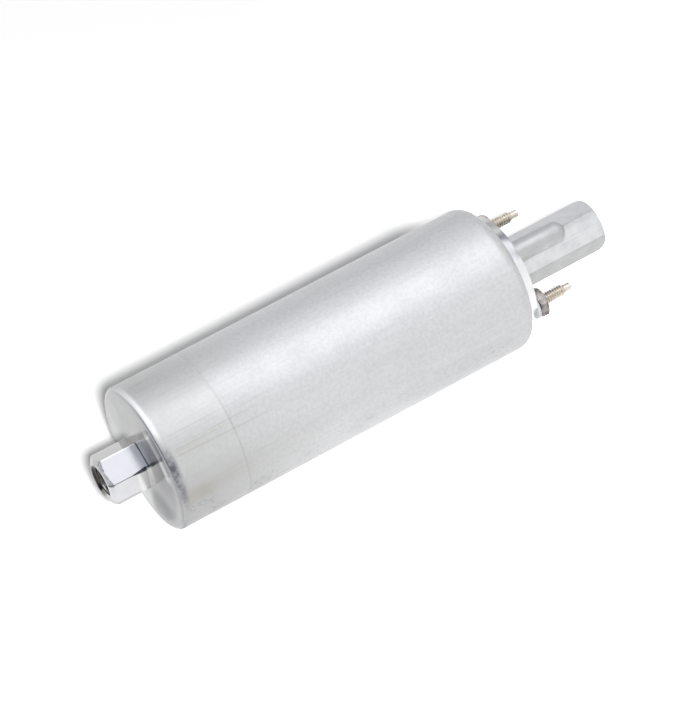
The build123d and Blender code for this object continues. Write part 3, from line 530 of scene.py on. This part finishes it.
# Painted dark reflection in a wedge along the upper flat's low edge, widening towards the can.
wedge_width = plate.most(plate.times(plate.plus(at_x, 0.0660), 17.0), 0.012)
wedge_reflection = plate.fall(plate.math("SUBTRACT", plate.off(around, 2.29), wedge_width), -0.01, 0.01)
wedge_reflection = plate.times(wedge_reflection, plate.fall(at_x, -0.0606, -0.0601))
steel = plate.tint(plate.rise(smear, 0.35, 0.75), (0.66, 0.66, 0.68), (0.60, 0.60, 0.62))
steel = plate.marks(
    steel,
    (plate.fall(square, 0.0000285, 0.0000300), 0.8, (0.30, 0.28, 0.25)),
    (plate.fall(around, 1.20, 1.24), 0.8, (0.40, 0.40, 0.395)),
    (mouth, 1, (0.75, 0.74, 0.72)),
    (plate.times(mouth, plate.rise(at_y, -0.0030, -0.0015)), 1, (0.045, 0.04, 0.035)),
    (hexagon_edge_highlight, 1, (1.0, 1.0, 1.0)),
    (mouth_ring, 1, (0.66, 0.66, 0.67)),
    (cone_dark_reflection, 1, (0.02, 0.022, 0.04)),
    (top_flat, 0.75, (0.455, 0.455, 0.475)),
    (plate.times(top_flat, plate.rise(at_x, -0.0640, -0.0605)), 0.55, (0.20, 0.22, 0.27)),
    (wedge_reflection, 0.95, (0.03, 0.03, 0.04)),
    (plate.rise(around, 3.20, 3.27), 0.6, (0.36, 0.36, 0.35)),
    (plate.times(low_flat, plate.rise(at_x, -0.0640, -0.0625)), 0.7, (0.84, 0.83, 0.82)),
    (plate.times(low_flat, plate.rise(at_x, -0.0604, -0.0601)), 1, (1.0, 1.0, 1.0)),
)
plate.set("Base Color", steel)
plate.set("Roughness", plate.fade(smear, 0.3, 0.8, 0.07, 0.16))
plate.bump(mill, 0.1, 0.00003)
fitting.data.materials.append(plate.material)
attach(fitting, "root")
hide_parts("inlet_fitting")

# The outlet casting
# A cast aluminium end cap, machined all over: a flange inside the can, a polished round land
# outside it, and a hexagon tube with a half-round rib on its upper corner for the valve passage.
land_x = 64.4
land_radius = 17.2
land_round = 0.25
tube_middle = 88.0
tube_end = 95.4
tube_turn = 30.0
tube_corner = 0.35
tube_end_radius = 6.6
tube_round_depth = 1.5
tube_round_length = 2.6
tube_steps = 16
rib_radius = 3.3
rib_height = 7.1
rib_fillet = 1.5
rib_end = land_x + 16.3
cap_back = 50.0
cap_floor = 52.0
cap_inner_radius = 19.6
cap_radius = 21.2
cap_groove = (53.0, 55.4)
cap_groove_radius = 19.5
cap_shoulder = (56.7, 60.2)
cap_neck_radius = 17.8
valve_bore_radius = 5.0
valve_bore_end = 84.0
bush_hole_radius = 2.65
seal_pocket_radius = 3.35
seal_pocket_end = 53.5


def tube_outline(station, spread=0.0):
    """The hexagon tube with its rib at a station, its skin moved out by spread."""
    bar = bar_outline(fitting_flats + 2 * spread, tube_corner + spread, tube_turn)
    beyond = max(0.0, station - rib_end)
    radius = math.sqrt(max(0.0, rib_radius**2 - beyond**2)) + spread

    def outline(angle):
        reach = bar(angle)
        off = angle - math.pi / 2
        across = rib_height * math.sin(off)
        if radius > abs(across) and math.cos(off) > 0:
            rib = rib_height * math.cos(off) + math.sqrt(radius**2 - across**2)
            share = min(1.0, max(0.0, 0.5 + 0.5 * (rib - reach) / rib_fillet))
            reach = reach + (rib - reach) * share + rib_fillet * share * (1 - share)
        return reach

    return outline


cap_rows = [(cap_floor, cap_inner_radius), (cap_back, cap_inner_radius), (cap_back, cap_radius)]
cap_rows += [(cap_groove[0], cap_radius), (cap_groove[0], cap_groove_radius)]
cap_rows += [(cap_groove[1], cap_groove_radius), (cap_groove[1], cap_radius)]
cap_rows += [(cap_shoulder[0], cap_radius), (cap_shoulder[1], cap_neck_radius)]
cap_rows += [(cap_shoulder[1], land_radius), (land_x - land_round, land_radius)]
cap_rows += [(land_x - 0.08, land_radius - 0.06), (land_x, land_radius - land_round)]
for back, spread in ((0.0, 0.5), (0.13, 0.15), (0.5, 0.0)):
    cap_rows.append((land_x + back, tube_outline(land_x, spread)))
cap_rows += [(station, tube_outline(station)) for station in (69.0, 73.0, 77.0, 80.0)]
for step in range(tube_steps + 1):
    station = rib_end + rib_radius * math.sin(math.radians(90 * step / tube_steps))
    cap_rows.append((station, tube_outline(station)))
cap_rows += [(tube_middle, tube_outline(tube_middle))]
for step in range(tube_steps + 1):
    turn = math.radians(90 * step / tube_steps)
    edge = tube_end_radius + tube_round_depth * math.cos(turn)
    back = tube_end - tube_round_length * (1 - math.sin(turn))
    cap_rows.append((back, bar_outline(fitting_flats, tube_corner, tube_turn, edge)))
cap_rows += reversed(port_rows(tube_end, -1))
cap_rows += [(valve_bore_end, passage_radius), (valve_bore_end, valve_bore_radius)]
cap_rows += [(cap_floor, valve_bore_radius)]
cap = placed("outlet_casting", wrapped_skin("outlet_casting", cap_rows, 360), 24.0)

# Two stepped holes go through the casting for the terminals' bushes and seals.
stud_offset = 14.2
cutter_start = 51.0
cutter_end = 66.0
for side in (1, -1):
    cutter_rows = [(cutter_start, 0), (cutter_start, seal_pocket_radius)]
    cutter_rows += [(seal_pocket_end, seal_pocket_radius), (seal_pocket_end, bush_hole_radius)]
    cutter_rows += [(cutter_end, bush_hole_radius), (cutter_end, 0)]
    cutter_skin = wrapped_skin("cutter", cutter_rows, 48, (side * stud_offset, 0.0), closed=False)
    cutter = placed("cutter", cutter_skin, 35.0)
    cut = cap.modifiers.new("hole", "BOOLEAN")
    cut.operation = "DIFFERENCE"
    cut.solver = "EXACT"
    cut.object = cutter
    drilled_cap = cap.evaluated_get(bpy.context.evaluated_depsgraph_get())
    drilled = bpy.data.meshes.new_from_object(drilled_cap)
    cap.modifiers.remove(cut)
    cap.data = drilled
    bpy.data.objects.remove(cutter)

# The casting's tube is cloudy with fine turning scratches, with painted shade on its low flat and
# its rib. The land is polished, and a painted reflection takes it from grey on top to nearly white
# at the side, with painted shade on its far side.
casting = Finish("machined_aluminium", 0.92)
at_x, at_y, at_z = casting.place()
around = casting.angle(at_y, at_z)
scratch = casting.noise(1.0, 5.0, 0.65, stretch=(45, 2600, 2600))
cloud = casting.noise(260, 4.0, 0.6)
grain = casting.noise(2200, 3.0, 0.6)
land = casting.fall(at_x, 0.0643, 0.0645)
# Painted reflection on the polished land: grey on top, nearly white at the side.
land_painted_reflection = casting.tint(casting.rise(around, 1.80, 1.98), (0.43, 0.44, 0.46), (0.82, 0.82, 0.83))
land_painted_reflection = casting.marks(
    land_painted_reflection,
    (casting.rise(around, 2.0, 2.5), 1, (0.95, 0.95, 0.95)),
    (casting.fall(around, 1.30, 1.38), 1, (0.62, 0.615, 0.60)),
)
tone = casting.tint(casting.rise(cloud, 0.35, 0.7), (0.76, 0.765, 0.77), (0.68, 0.685, 0.70))
tone = casting.marks(
    tone,
    (casting.rise(scratch, 0.60, 0.70), 0.5, (0.40, 0.41, 0.42)),
    (casting.rise(grain, 0.55, 0.75), 0.35, (0.74, 0.74, 0.74)),
    # Painted shade on the tube's low flat and on its rib and top.
    (casting.fall(at_y, -0.0069, -0.0066), 0.55, (0.40, 0.40, 0.40)),
    (casting.rise(at_z, 0.0070, 0.0086), 0.55, (0.40, 0.40, 0.40)),
    (land, 1, land_painted_reflection),
    # Painted shade on the land's far side.
    (casting.times(land, casting.fall(around, 0.5, 0.95)), 0.5, (0.42, 0.42, 0.42)),
)
casting.set("Base Color", tone)
rough = casting.fade(cloud, 0.3, 0.7, 0.44, 0.54)
casting.set("Roughness", casting.times(rough, casting.fade(land, 0.0, 1.0, 1.0, 0.45)))
casting.bump(scratch, 0.12, 0.00004)
casting.bump(grain, 0.12, 0.00002)
cap.data.materials.append(casting.material)
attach(cap, "root")
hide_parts("outlet_housing")

# The terminals
# Two tin plated brass studs with a 6-32 thread and a reduced pilot tip. Each stands in a flanged
# nylon bush that keeps it off the casting, and a dark plated steel nut holds it down.
stud_radius = 1.75
stud_root = 1.36
stud_pitch = 0.794
stud_foot = 49.9
stud_foot_radius = 2.9
stud_foot_end = 51.4
stud_thread_end = 75.3
pilot_radius = 1.2
pilot_round = 0.4
pilot_end = 78.0
nut_start = 65.5
nut_height = 2.78
nut_flats = 7.94
nut_turn = 8.0
nut_corner = 0.1
nut_face_inset = 0.1
nut_chamfer_slope = 0.58
nut_chamfer_steps = 6
nut_bore_radius = 1.8
nut_mouth_radius = 2.15
nut_mouth_depth = 0.3
bush_flange_radius = 4.15
bush_radius = 2.6
stud_metal = Finish("tinned_brass", 1.0)
cloud = stud_metal.noise(700, 4.0, 0.6)
at_x, at_y, at_z = stud_metal.place()
from_stud = stud_metal.math("SUBTRACT", stud_metal.math("ABSOLUTE", at_y), stud_offset * mm)
from_stud = stud_metal.math("SQRT", stud_metal.squares(from_stud, at_z))
valley = stud_metal.times(
    stud_metal.fall(from_stud, 0.00142, 0.00168), stud_metal.fall(at_x, 0.0755, 0.0757)
)
tin = stud_metal.tint(stud_metal.rise(cloud, 0.35, 0.7), (0.84, 0.80, 0.73), (0.74, 0.69, 0.61))
stud_metal.set("Base Color", stud_metal.marks(tin, (valley, 0.5, (0.50, 0.40, 0.30))))
stud_metal.set("Roughness", stud_metal.fade(cloud, 0.3, 0.7, 0.22, 0.36))
nut_metal = Finish("dark_plated_steel", 1.0)
cloud = nut_metal.noise(500, 4.0, 0.6)
zinc = nut_metal.tint(nut_metal.rise(cloud, 0.35, 0.7), (0.36, 0.34, 0.33), (0.14, 0.125, 0.12))
nut_metal.set("Base Color", zinc)
nut_metal.set("Roughness", nut_metal.fade(cloud, 0.3, 0.7, 0.18, 0.34))
nylon = Finish("natural_nylon")
cloud = nylon.noise(400, 3.0, 0.5)
milky = nylon.tint(nylon.rise(cloud, 0.35, 0.7), (0.60, 0.62, 0.63), (0.54, 0.56, 0.58))
nylon.set("Base Color", milky)
nylon.set("Roughness", 0.42)
nylon.set("Subsurface Weight", 0.15)
nylon.shader.inputs["Subsurface Radius"].default_value = (0.0008, 0.0008, 0.0008)


def stud_rows():
    """Rows of one stud: its round foot, its shank, its thread and its pilot tip."""
    rows = [(stud_foot, 0), (stud_foot, 2.7), (stud_foot + 0.15, stud_foot_radius)]
    rows += [(stud_foot_end - 0.1, stud_foot_radius), (stud_foot_end, stud_foot_radius - 0.1)]
    rows += [(stud_foot_end, stud_radius), (nut_start, stud_radius), (nut_start + 0.1, stud_root)]
    thread_start = nut_start + 0.15
    rows += thread_rows(thread_start, stud_thread_end, stud_root, stud_radius, stud_pitch, 16, 0.25)
    rows += [(stud_thread_end + 0.08, 1.28), (stud_thread_end + 0.3, pilot_radius)]
    round_x = pilot_end - pilot_round
    rows += [(round_x, pilot_radius)]
    rows += arc_rows(round_x, pilot_radius - pilot_round, pilot_round, 60, 0, 2)
    return rows + [(pilot_end, 0)]


def nut_rows():
    """Rows of one hexagon nut, with both its faces chamfered and its bore opened at both ends."""
    start_radius = nut_flats / 2 - nut_face_inset
    widest = nut_flats / math.sqrt(3) - start_radius
    rims = []
    for step in range(nut_chamfer_steps + 1):
        widening = widest * step / nut_chamfer_steps
        rim = bar_outline(nut_flats, nut_corner, nut_turn, start_radius + widening)
        rims.append((widening * nut_chamfer_slope, rim))
    rows = [(nut_start + back, rim) for back, rim in rims]
    nut_end = nut_start + nut_height
    rows += [(nut_end - back, rim) for back, rim in reversed(rims)]
    rows += [(nut_end, nut_mouth_radius), (nut_end - nut_mouth_depth, nut_bore_radius)]
    rows += [(nut_start + nut_mouth_depth, nut_bore_radius), (nut_start, nut_mouth_radius)]
    return rows


def bush_rows():
    """Rows of one bush: its flange on the land, and its sleeve through the casting."""
    rows = [(land_x, bush_flange_radius), (nut_start - 0.35, bush_flange_radius)]
    rows += [(nut_start - 0.1, 4.05), (nut_start, 3.8), (nut_start, nut_bore_radius)]
    rows += [(seal_pocket_end, nut_bore_radius), (seal_pocket_end, bush_radius)]
    return rows + [(land_x, bush_radius)]


def joined(name, parts):
    """One mesh of several."""
    builder = bmesh.new()
    for part in parts:
        builder.from_mesh(part)
    mesh = bpy.data.meshes.new(name)
    builder.to_mesh(mesh)
    builder.free()
    return mesh


stud_places = (((stud_offset, 0.0), "positive_stud"), ((-stud_offset, 0.0), "negative_stud"))
for centre, stud_name in stud_places:
    stud_skin = wrapped_skin(stud_name, stud_rows(), 64, centre, closed=False)
    stud = placed(stud_name + "_threaded", stud_skin, 40.0)
    stud.data.materials.append(stud_metal.material)
    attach(stud, "root")
    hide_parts(stud_name)
nut_parts = [wrapped_skin("nut", nut_rows(), 144, centre) for centre, _ in stud_places]
bush_parts = [wrapped_skin("bush", bush_rows(), 96, centre) for centre, _ in stud_places]
nuts = placed("hexagon_nuts", joined("hexagon_nuts", nut_parts), 20.0)
nuts.data.materials.append(nut_metal.material)
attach(nuts, "root")
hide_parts("terminal_nuts")
bushes = placed("flanged_bushes", joined("flanged_bushes", bush_parts), 35.0)
bushes.data.materials.append(nylon.material)
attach(bushes, "root")
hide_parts("terminal_insulators")

# The inner parts
# What the can hides: the gerotor in its housing, the armature in its bushes, the magnets, the
# brushes, the valves and the seals. Each keeps its own shape and gets its real material's finish.
even = (1, 1, 1)

# Each row has the finish's name, its nodes, its light and dark tone, how metallic it is, its least
# and most roughness, and its grain's scale and stretch.
inner_finishes = (
    ("cast_zinc", ("inlet_housing",),
     (0.56, 0.57, 0.58), (0.44, 0.45, 0.46), 0.9, 0.40, 0.55, 300, even),
    ("sintered_bronze", ("front_bush", "rear_bush"),
     (0.62, 0.45, 0.25), (0.46, 0.31, 0.16), 0.9, 0.35, 0.5, 1500, even),
    ("sintered_steel", ("cam_ring", "outer_rotor", "inner_rotor"),
     (0.42, 0.41, 0.40), (0.29, 0.28, 0.27), 1.0, 0.3, 0.45, 1200, even),
    ("ground_steel", ("outlet_port_plate", "dowel_pins", "relief_ball", "armature_shaft"),
     (0.66, 0.66, 0.66), (0.54, 0.54, 0.55), 1.0, 0.12, 0.26, 1, (200, 1800, 1800)),
    ("strainer_steel", ("inlet_strainer",),
     (0.60, 0.60, 0.59), (0.45, 0.45, 0.44), 1.0, 0.25, 0.4, 600, even),
    ("spring_steel", ("magnet_springs",),
     (0.50, 0.50, 0.51), (0.36, 0.36, 0.37), 1.0, 0.22, 0.36, 1, (120, 1500, 1500)),
    ("flux_steel", ("flux_ring",),
     (0.42, 0.42, 0.43), (0.30, 0.30, 0.31), 1.0, 0.35, 0.5, 1, (160, 900, 900)),
    ("ferrite", ("magnets",),
     (0.12, 0.12, 0.12), (0.06, 0.06, 0.065), 0.1, 0.5, 0.7, 900, even),
    ("stamped_laminations", ("lamination_stack",),
     (0.36, 0.37, 0.39), (0.19, 0.20, 0.21), 1.0, 0.35, 0.5, 1, (2600, 60, 60)),
    ("enamelled_copper", ("armature_windings",),
     (0.62, 0.25, 0.09), (0.34, 0.11, 0.04), 0.85, 0.2, 0.38, 1, (160, 1700, 1700)),
    ("bare_copper", ("commutator_bars", "contact_straps"),
     (0.80, 0.42, 0.27), (0.62, 0.29, 0.17), 1.0, 0.2, 0.36, 1, (1500, 200, 200)),
    ("moulded_resin", ("brush_holder", "commutator_base"),
     (0.13, 0.09, 0.065), (0.08, 0.055, 0.04), 0.0, 0.4, 0.55, 700, even),
    ("moulded_acetal", ("drive_coupling", "check_valve_guide"),
     (0.80, 0.78, 0.72), (0.72, 0.70, 0.63), 0.0, 0.35, 0.45, 500, even),
    ("washer_plastic", ("thrust_washer",),
     (0.78, 0.74, 0.62), (0.68, 0.64, 0.52), 0.0, 0.35, 0.5, 700, even),
    ("brush_carbon", ("positive_brush", "negative_brush"),
     (0.07, 0.07, 0.075), (0.03, 0.03, 0.033), 0.3, 0.4, 0.6, 1400, even),
    ("valve_brass", ("check_valve_seat", "check_valve_poppet"),
     (0.72, 0.56, 0.28), (0.58, 0.43, 0.19), 1.0, 0.2, 0.34, 1, (1600, 150, 150)),
    ("seal_rubber",
     ("inlet_seal", "inlet_housing_seal", "end_cap_seal", "terminal_seals", "check_valve_seal"),
     (0.035, 0.035, 0.036), (0.02, 0.02, 0.021), 0.0, 0.5, 0.68, 800, even),
)
inner_materials = {}
for name, node_names, light, dark, metallic, least, most, scale, stretch in inner_finishes:
    finish = Finish(name, metallic)
    grain = finish.noise(scale, 4.0, 0.6, stretch=stretch)
    finish.set("Base Color", finish.tint(finish.rise(grain, 0.3, 0.7), dark, light))
    finish.set("Roughness", finish.fade(grain, 0.3, 0.7, most, least))
    finish.bump(grain, 0.1, 0.00003)
    inner_materials[name] = finish.material
    for node_name in node_names:
        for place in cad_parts[node_name].material_slots:
            place.material = finish.material

# The coil springs
# Four compression springs of round wire: behind the check valve, behind the relief ball and behind
# each brush.
spring_tree = bpy.data.node_groups.new("compression_spring", "GeometryNodeTree")
sockets = {}
for name, kind, value in (
    ("Radius", "NodeSocketFloat", 0.002),
    ("Wire", "NodeSocketFloat", 0.0002),
    ("Turns", "NodeSocketFloat", 6.0),
    ("Length", "NodeSocketFloat", 0.006),
    ("Metal", "NodeSocketMaterial", None),
):
    socket = spring_tree.interface.new_socket(name=name, in_out="INPUT", socket_type=kind)
    if value is not None:
        socket.default_value = value
    sockets[name] = socket.identifier
spring_tree.interface.new_socket(name="Mesh", in_out="OUTPUT", socket_type="NodeSocketGeometry")
given = spring_tree.nodes.new("NodeGroupInput")
result = spring_tree.nodes.new("NodeGroupOutput")
helix = spring_tree.nodes.new("GeometryNodeCurveSpiral")
helix.inputs["Resolution"].default_value = 36
section = spring_tree.nodes.new("GeometryNodeCurvePrimitiveCircle")
section.inputs["Resolution"].default_value = 12
tube = spring_tree.nodes.new("GeometryNodeCurveToMesh")
tube.inputs["Fill Caps"].default_value = True
real = spring_tree.nodes.new("GeometryNodeRealizeInstances")
painted = spring_tree.nodes.new("GeometryNodeSetMaterial")
for source, output, target, socket in (
    (given, "Radius", helix, "Start Radius"),
    (given, "Radius", helix, "End Radius"),
    (given, "Turns", helix, "Rotations"),
    (given, "Length", helix, "Height"),
    (given, "Wire", section, "Radius"),
    (given, "Metal", painted, "Material"),
    (helix, "Curve", tube, "Curve"),
    (section, "Curve", tube, "Profile Curve"),
    (tube, "Mesh", real, "Geometry"),
    (real, "Geometry", painted, "Geometry"),
    (painted, "Geometry", result, "Mesh"),
):
    spring_tree.links.new(source.outputs[output], target.inputs[socket])

for name, node_name, body, wire, turns, fixed_high in (
    ("check_valve_coil", "check_valve_spring", "check_valve", 0.4, 5.0, True),
    ("relief_coil", "relief_spring", "relief_valve", 0.35, 6.0, False),
    ("positive_brush_coil", "positive_brush_spring", "positive_brush", 0.35, 7.0, True),
    ("negative_brush_coil", "negative_brush_spring", "negative_brush", 0.35, 7.0, True),
):
    low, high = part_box(node_name)
    thick = wire * mm / 2
    spring = bpy.data.objects.new(name, bpy.data.meshes.new(name))
    bpy.context.scene.collection.objects.link(spring)
    maker = spring.modifiers.new("coil", "NODES")
    maker.node_group = spring_tree
    maker[sockets["Radius"]] = (high[1] - low[1]) / 2 - thick
    maker[sockets["Wire"]] = thick
    maker[sockets["Turns"]] = turns
    maker[sockets["Length"]] = high[0] - low[0] - 2 * thick
    maker[sockets["Metal"]] = inner_materials["spring_steel"]
    wound = spring.evaluated_get(bpy.context.evaluated_depsgraph_get())
    mesh = bpy.data.meshes.new_from_object(wound)
    spring.modifiers.remove(maker)
    middle = ((low[1] + high[1]) / 2, (low[2] + high[2]) / 2)
    laid_down = Matrix.Rotation(math.radians(90), 4, "Y")
    mesh.transform(Matrix.Translation((low[0] + thick, *middle)) @ laid_down)
    spring.data = mesh
    for face in mesh.polygons:
        face.use_smooth = True
    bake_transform(spring)
    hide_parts(node_name)

# The table
# A matt white table top under the pump. To the eye and in reflections it is lifted to white, and to
# the eye a round painted pool of light where the outlet end stands washes out the shadow there.
table_half_size = 3.0
table_lift = 0.16
pool_x = 0.085
pool_lift = 0.6
builder = bmesh.new()
bmesh.ops.create_grid(builder, x_segments=1, y_segments=1, size=table_half_size)
mesh = bpy.data.meshes.new("table")
builder.to_mesh(mesh)
builder.free()
mesh.transform(Matrix.Translation((0, 0, -can_radius * mm)))
table = bpy.data.objects.new("table", mesh)
bpy.context.scene.collection.objects.link(table)


def seen_directly(steps):
    """Two values: one is 1 for a ray from the camera, the other also for a reflection or glass."""
    path = steps.tree.nodes.new("ShaderNodeLightPath").outputs
    to_eye = path["Is Camera Ray"]
    return to_eye, steps.most(to_eye, path["Is Glossy Ray"], path["Is Transmission Ray"])


top = Finish("table_white")
top.set("Base Color", (0.86, 0.86, 0.86))
top.set("Roughness", 0.9)
top.set("Specular IOR Level", 0.1)
to_eye, seen = seen_directly(top)
floor_x, floor_y, _ = top.place()
from_pool = top.math("SQRT", top.squares(top.plus(floor_x, -pool_x), floor_y))
# A painted pool of light, seen only by the camera, washes out the shadow round the outlet end.
painted_light_pool = top.times(to_eye, top.rise(floor_x, 0.050, 0.066), top.fall(from_pool, 0.06, 0.14))
top.set("Emission Color", (1, 1, 1))
top.set("Emission Strength", top.plus(top.times(seen, table_lift), top.times(painted_light_pool, pool_lift)))
table.data.materials.append(top.material)

# The light
# A plain white room, in which the metal sees soft dark screens: high at the side, low behind, past
# the inlet end and straight above. A small lamp gives the shadow, and a wide one adds a shine.
room_light = 0.2
screen_tone = (0.10, 0.13, 0.20)
world = bpy.data.worlds.new("studio")
world.use_nodes = True
bpy.context.scene.world = world
room = Steps(world.node_tree)
sky = world.node_tree.nodes["Background"]
to_eye, seen = seen_directly(room)
room.give(sky.inputs["Strength"], room.fade(seen, 0.0, 1.0, room_light, 1.0))
way_x, way_y, way_z = room.place("Generated")
height = room.math("ARCTAN2", way_z, way_y)
side_screen = room.fall(room.off(height, 0.86), 0.06, 0.10)
low_screen = room.times(room.fall(height, 0.22, 0.45), room.rise(way_z, -0.05, 0.0))
inlet_screen = room.times(room.fall(way_x, -0.85, -0.72), room.fall(way_z, 0.30, 0.40))
top_screen = room.rise(way_z, 0.80, 0.90)
dark = room.most(room.times(side_screen, 0.95), room.times(low_screen, 0.45))
dark = room.most(dark, room.times(top_screen, 0.65), room.times(inlet_screen, 0.85))
dark = room.times(dark, room.math("SUBTRACT", 1.0, to_eye))
room.give(sky.inputs["Color"], room.tint(dark, (1.0, 1.0, 1.0), screen_tone))


def soft_lamp(name, place, width, depth, power):
    """A rectangular lamp of that power, in watts, at place and turned to the pump."""
    lamp = bpy.data.lights.new(name, "AREA")
    lamp.shape = "RECTANGLE"
    lamp.size = width
    lamp.size_y = depth
    lamp.energy = power
    holder = bpy.data.objects.new(name, lamp)
    bpy.context.scene.collection.objects.link(holder)
    holder.location = place
    holder.rotation_euler = (-Vector(place)).to_track_quat("-Z", "Y").to_euler()
    return holder


key_lamp = soft_lamp("key_lamp", (-0.31, -0.57, 1.13), 0.16, 0.14, 19.0)
key_lamp.visible_glossy = False
top_lamp = soft_lamp("top_lamp", (0.12, 0.28, 1.15), 1.7, 1.1, 7.3)
top_lamp.visible_diffuse = False

# The view
# The camera looks down on the pump from a little over a metre away, with the inlet end near it.
view_right = Vector((0.8454, -0.5307, 0.0599))
view_back = Vector((-0.2924, -0.3660, 0.8835)).normalized()
view_target = Vector((7.95, -1.9, -0.86)) * mm
view_distance = 1.1
camera_data = bpy.data.cameras.new("camera")
camera_data.lens = 189.95
camera_data.sensor_width = 36.0
camera = bpy.data.objects.new("camera", camera_data)
bpy.context.scene.collection.objects.link(camera)
view_right = (view_right - view_right.dot(view_back) * view_back).normalized()
view_up = view_back.cross(view_right)
turned_view = Matrix((view_right, view_up, view_back)).transposed().to_4x4()
camera.matrix_world = Matrix.Translation(view_target + view_back * view_distance) @ turned_view
bpy.context.scene.camera = camera
bpy.context.scene.view_settings.view_transform = "Standard"
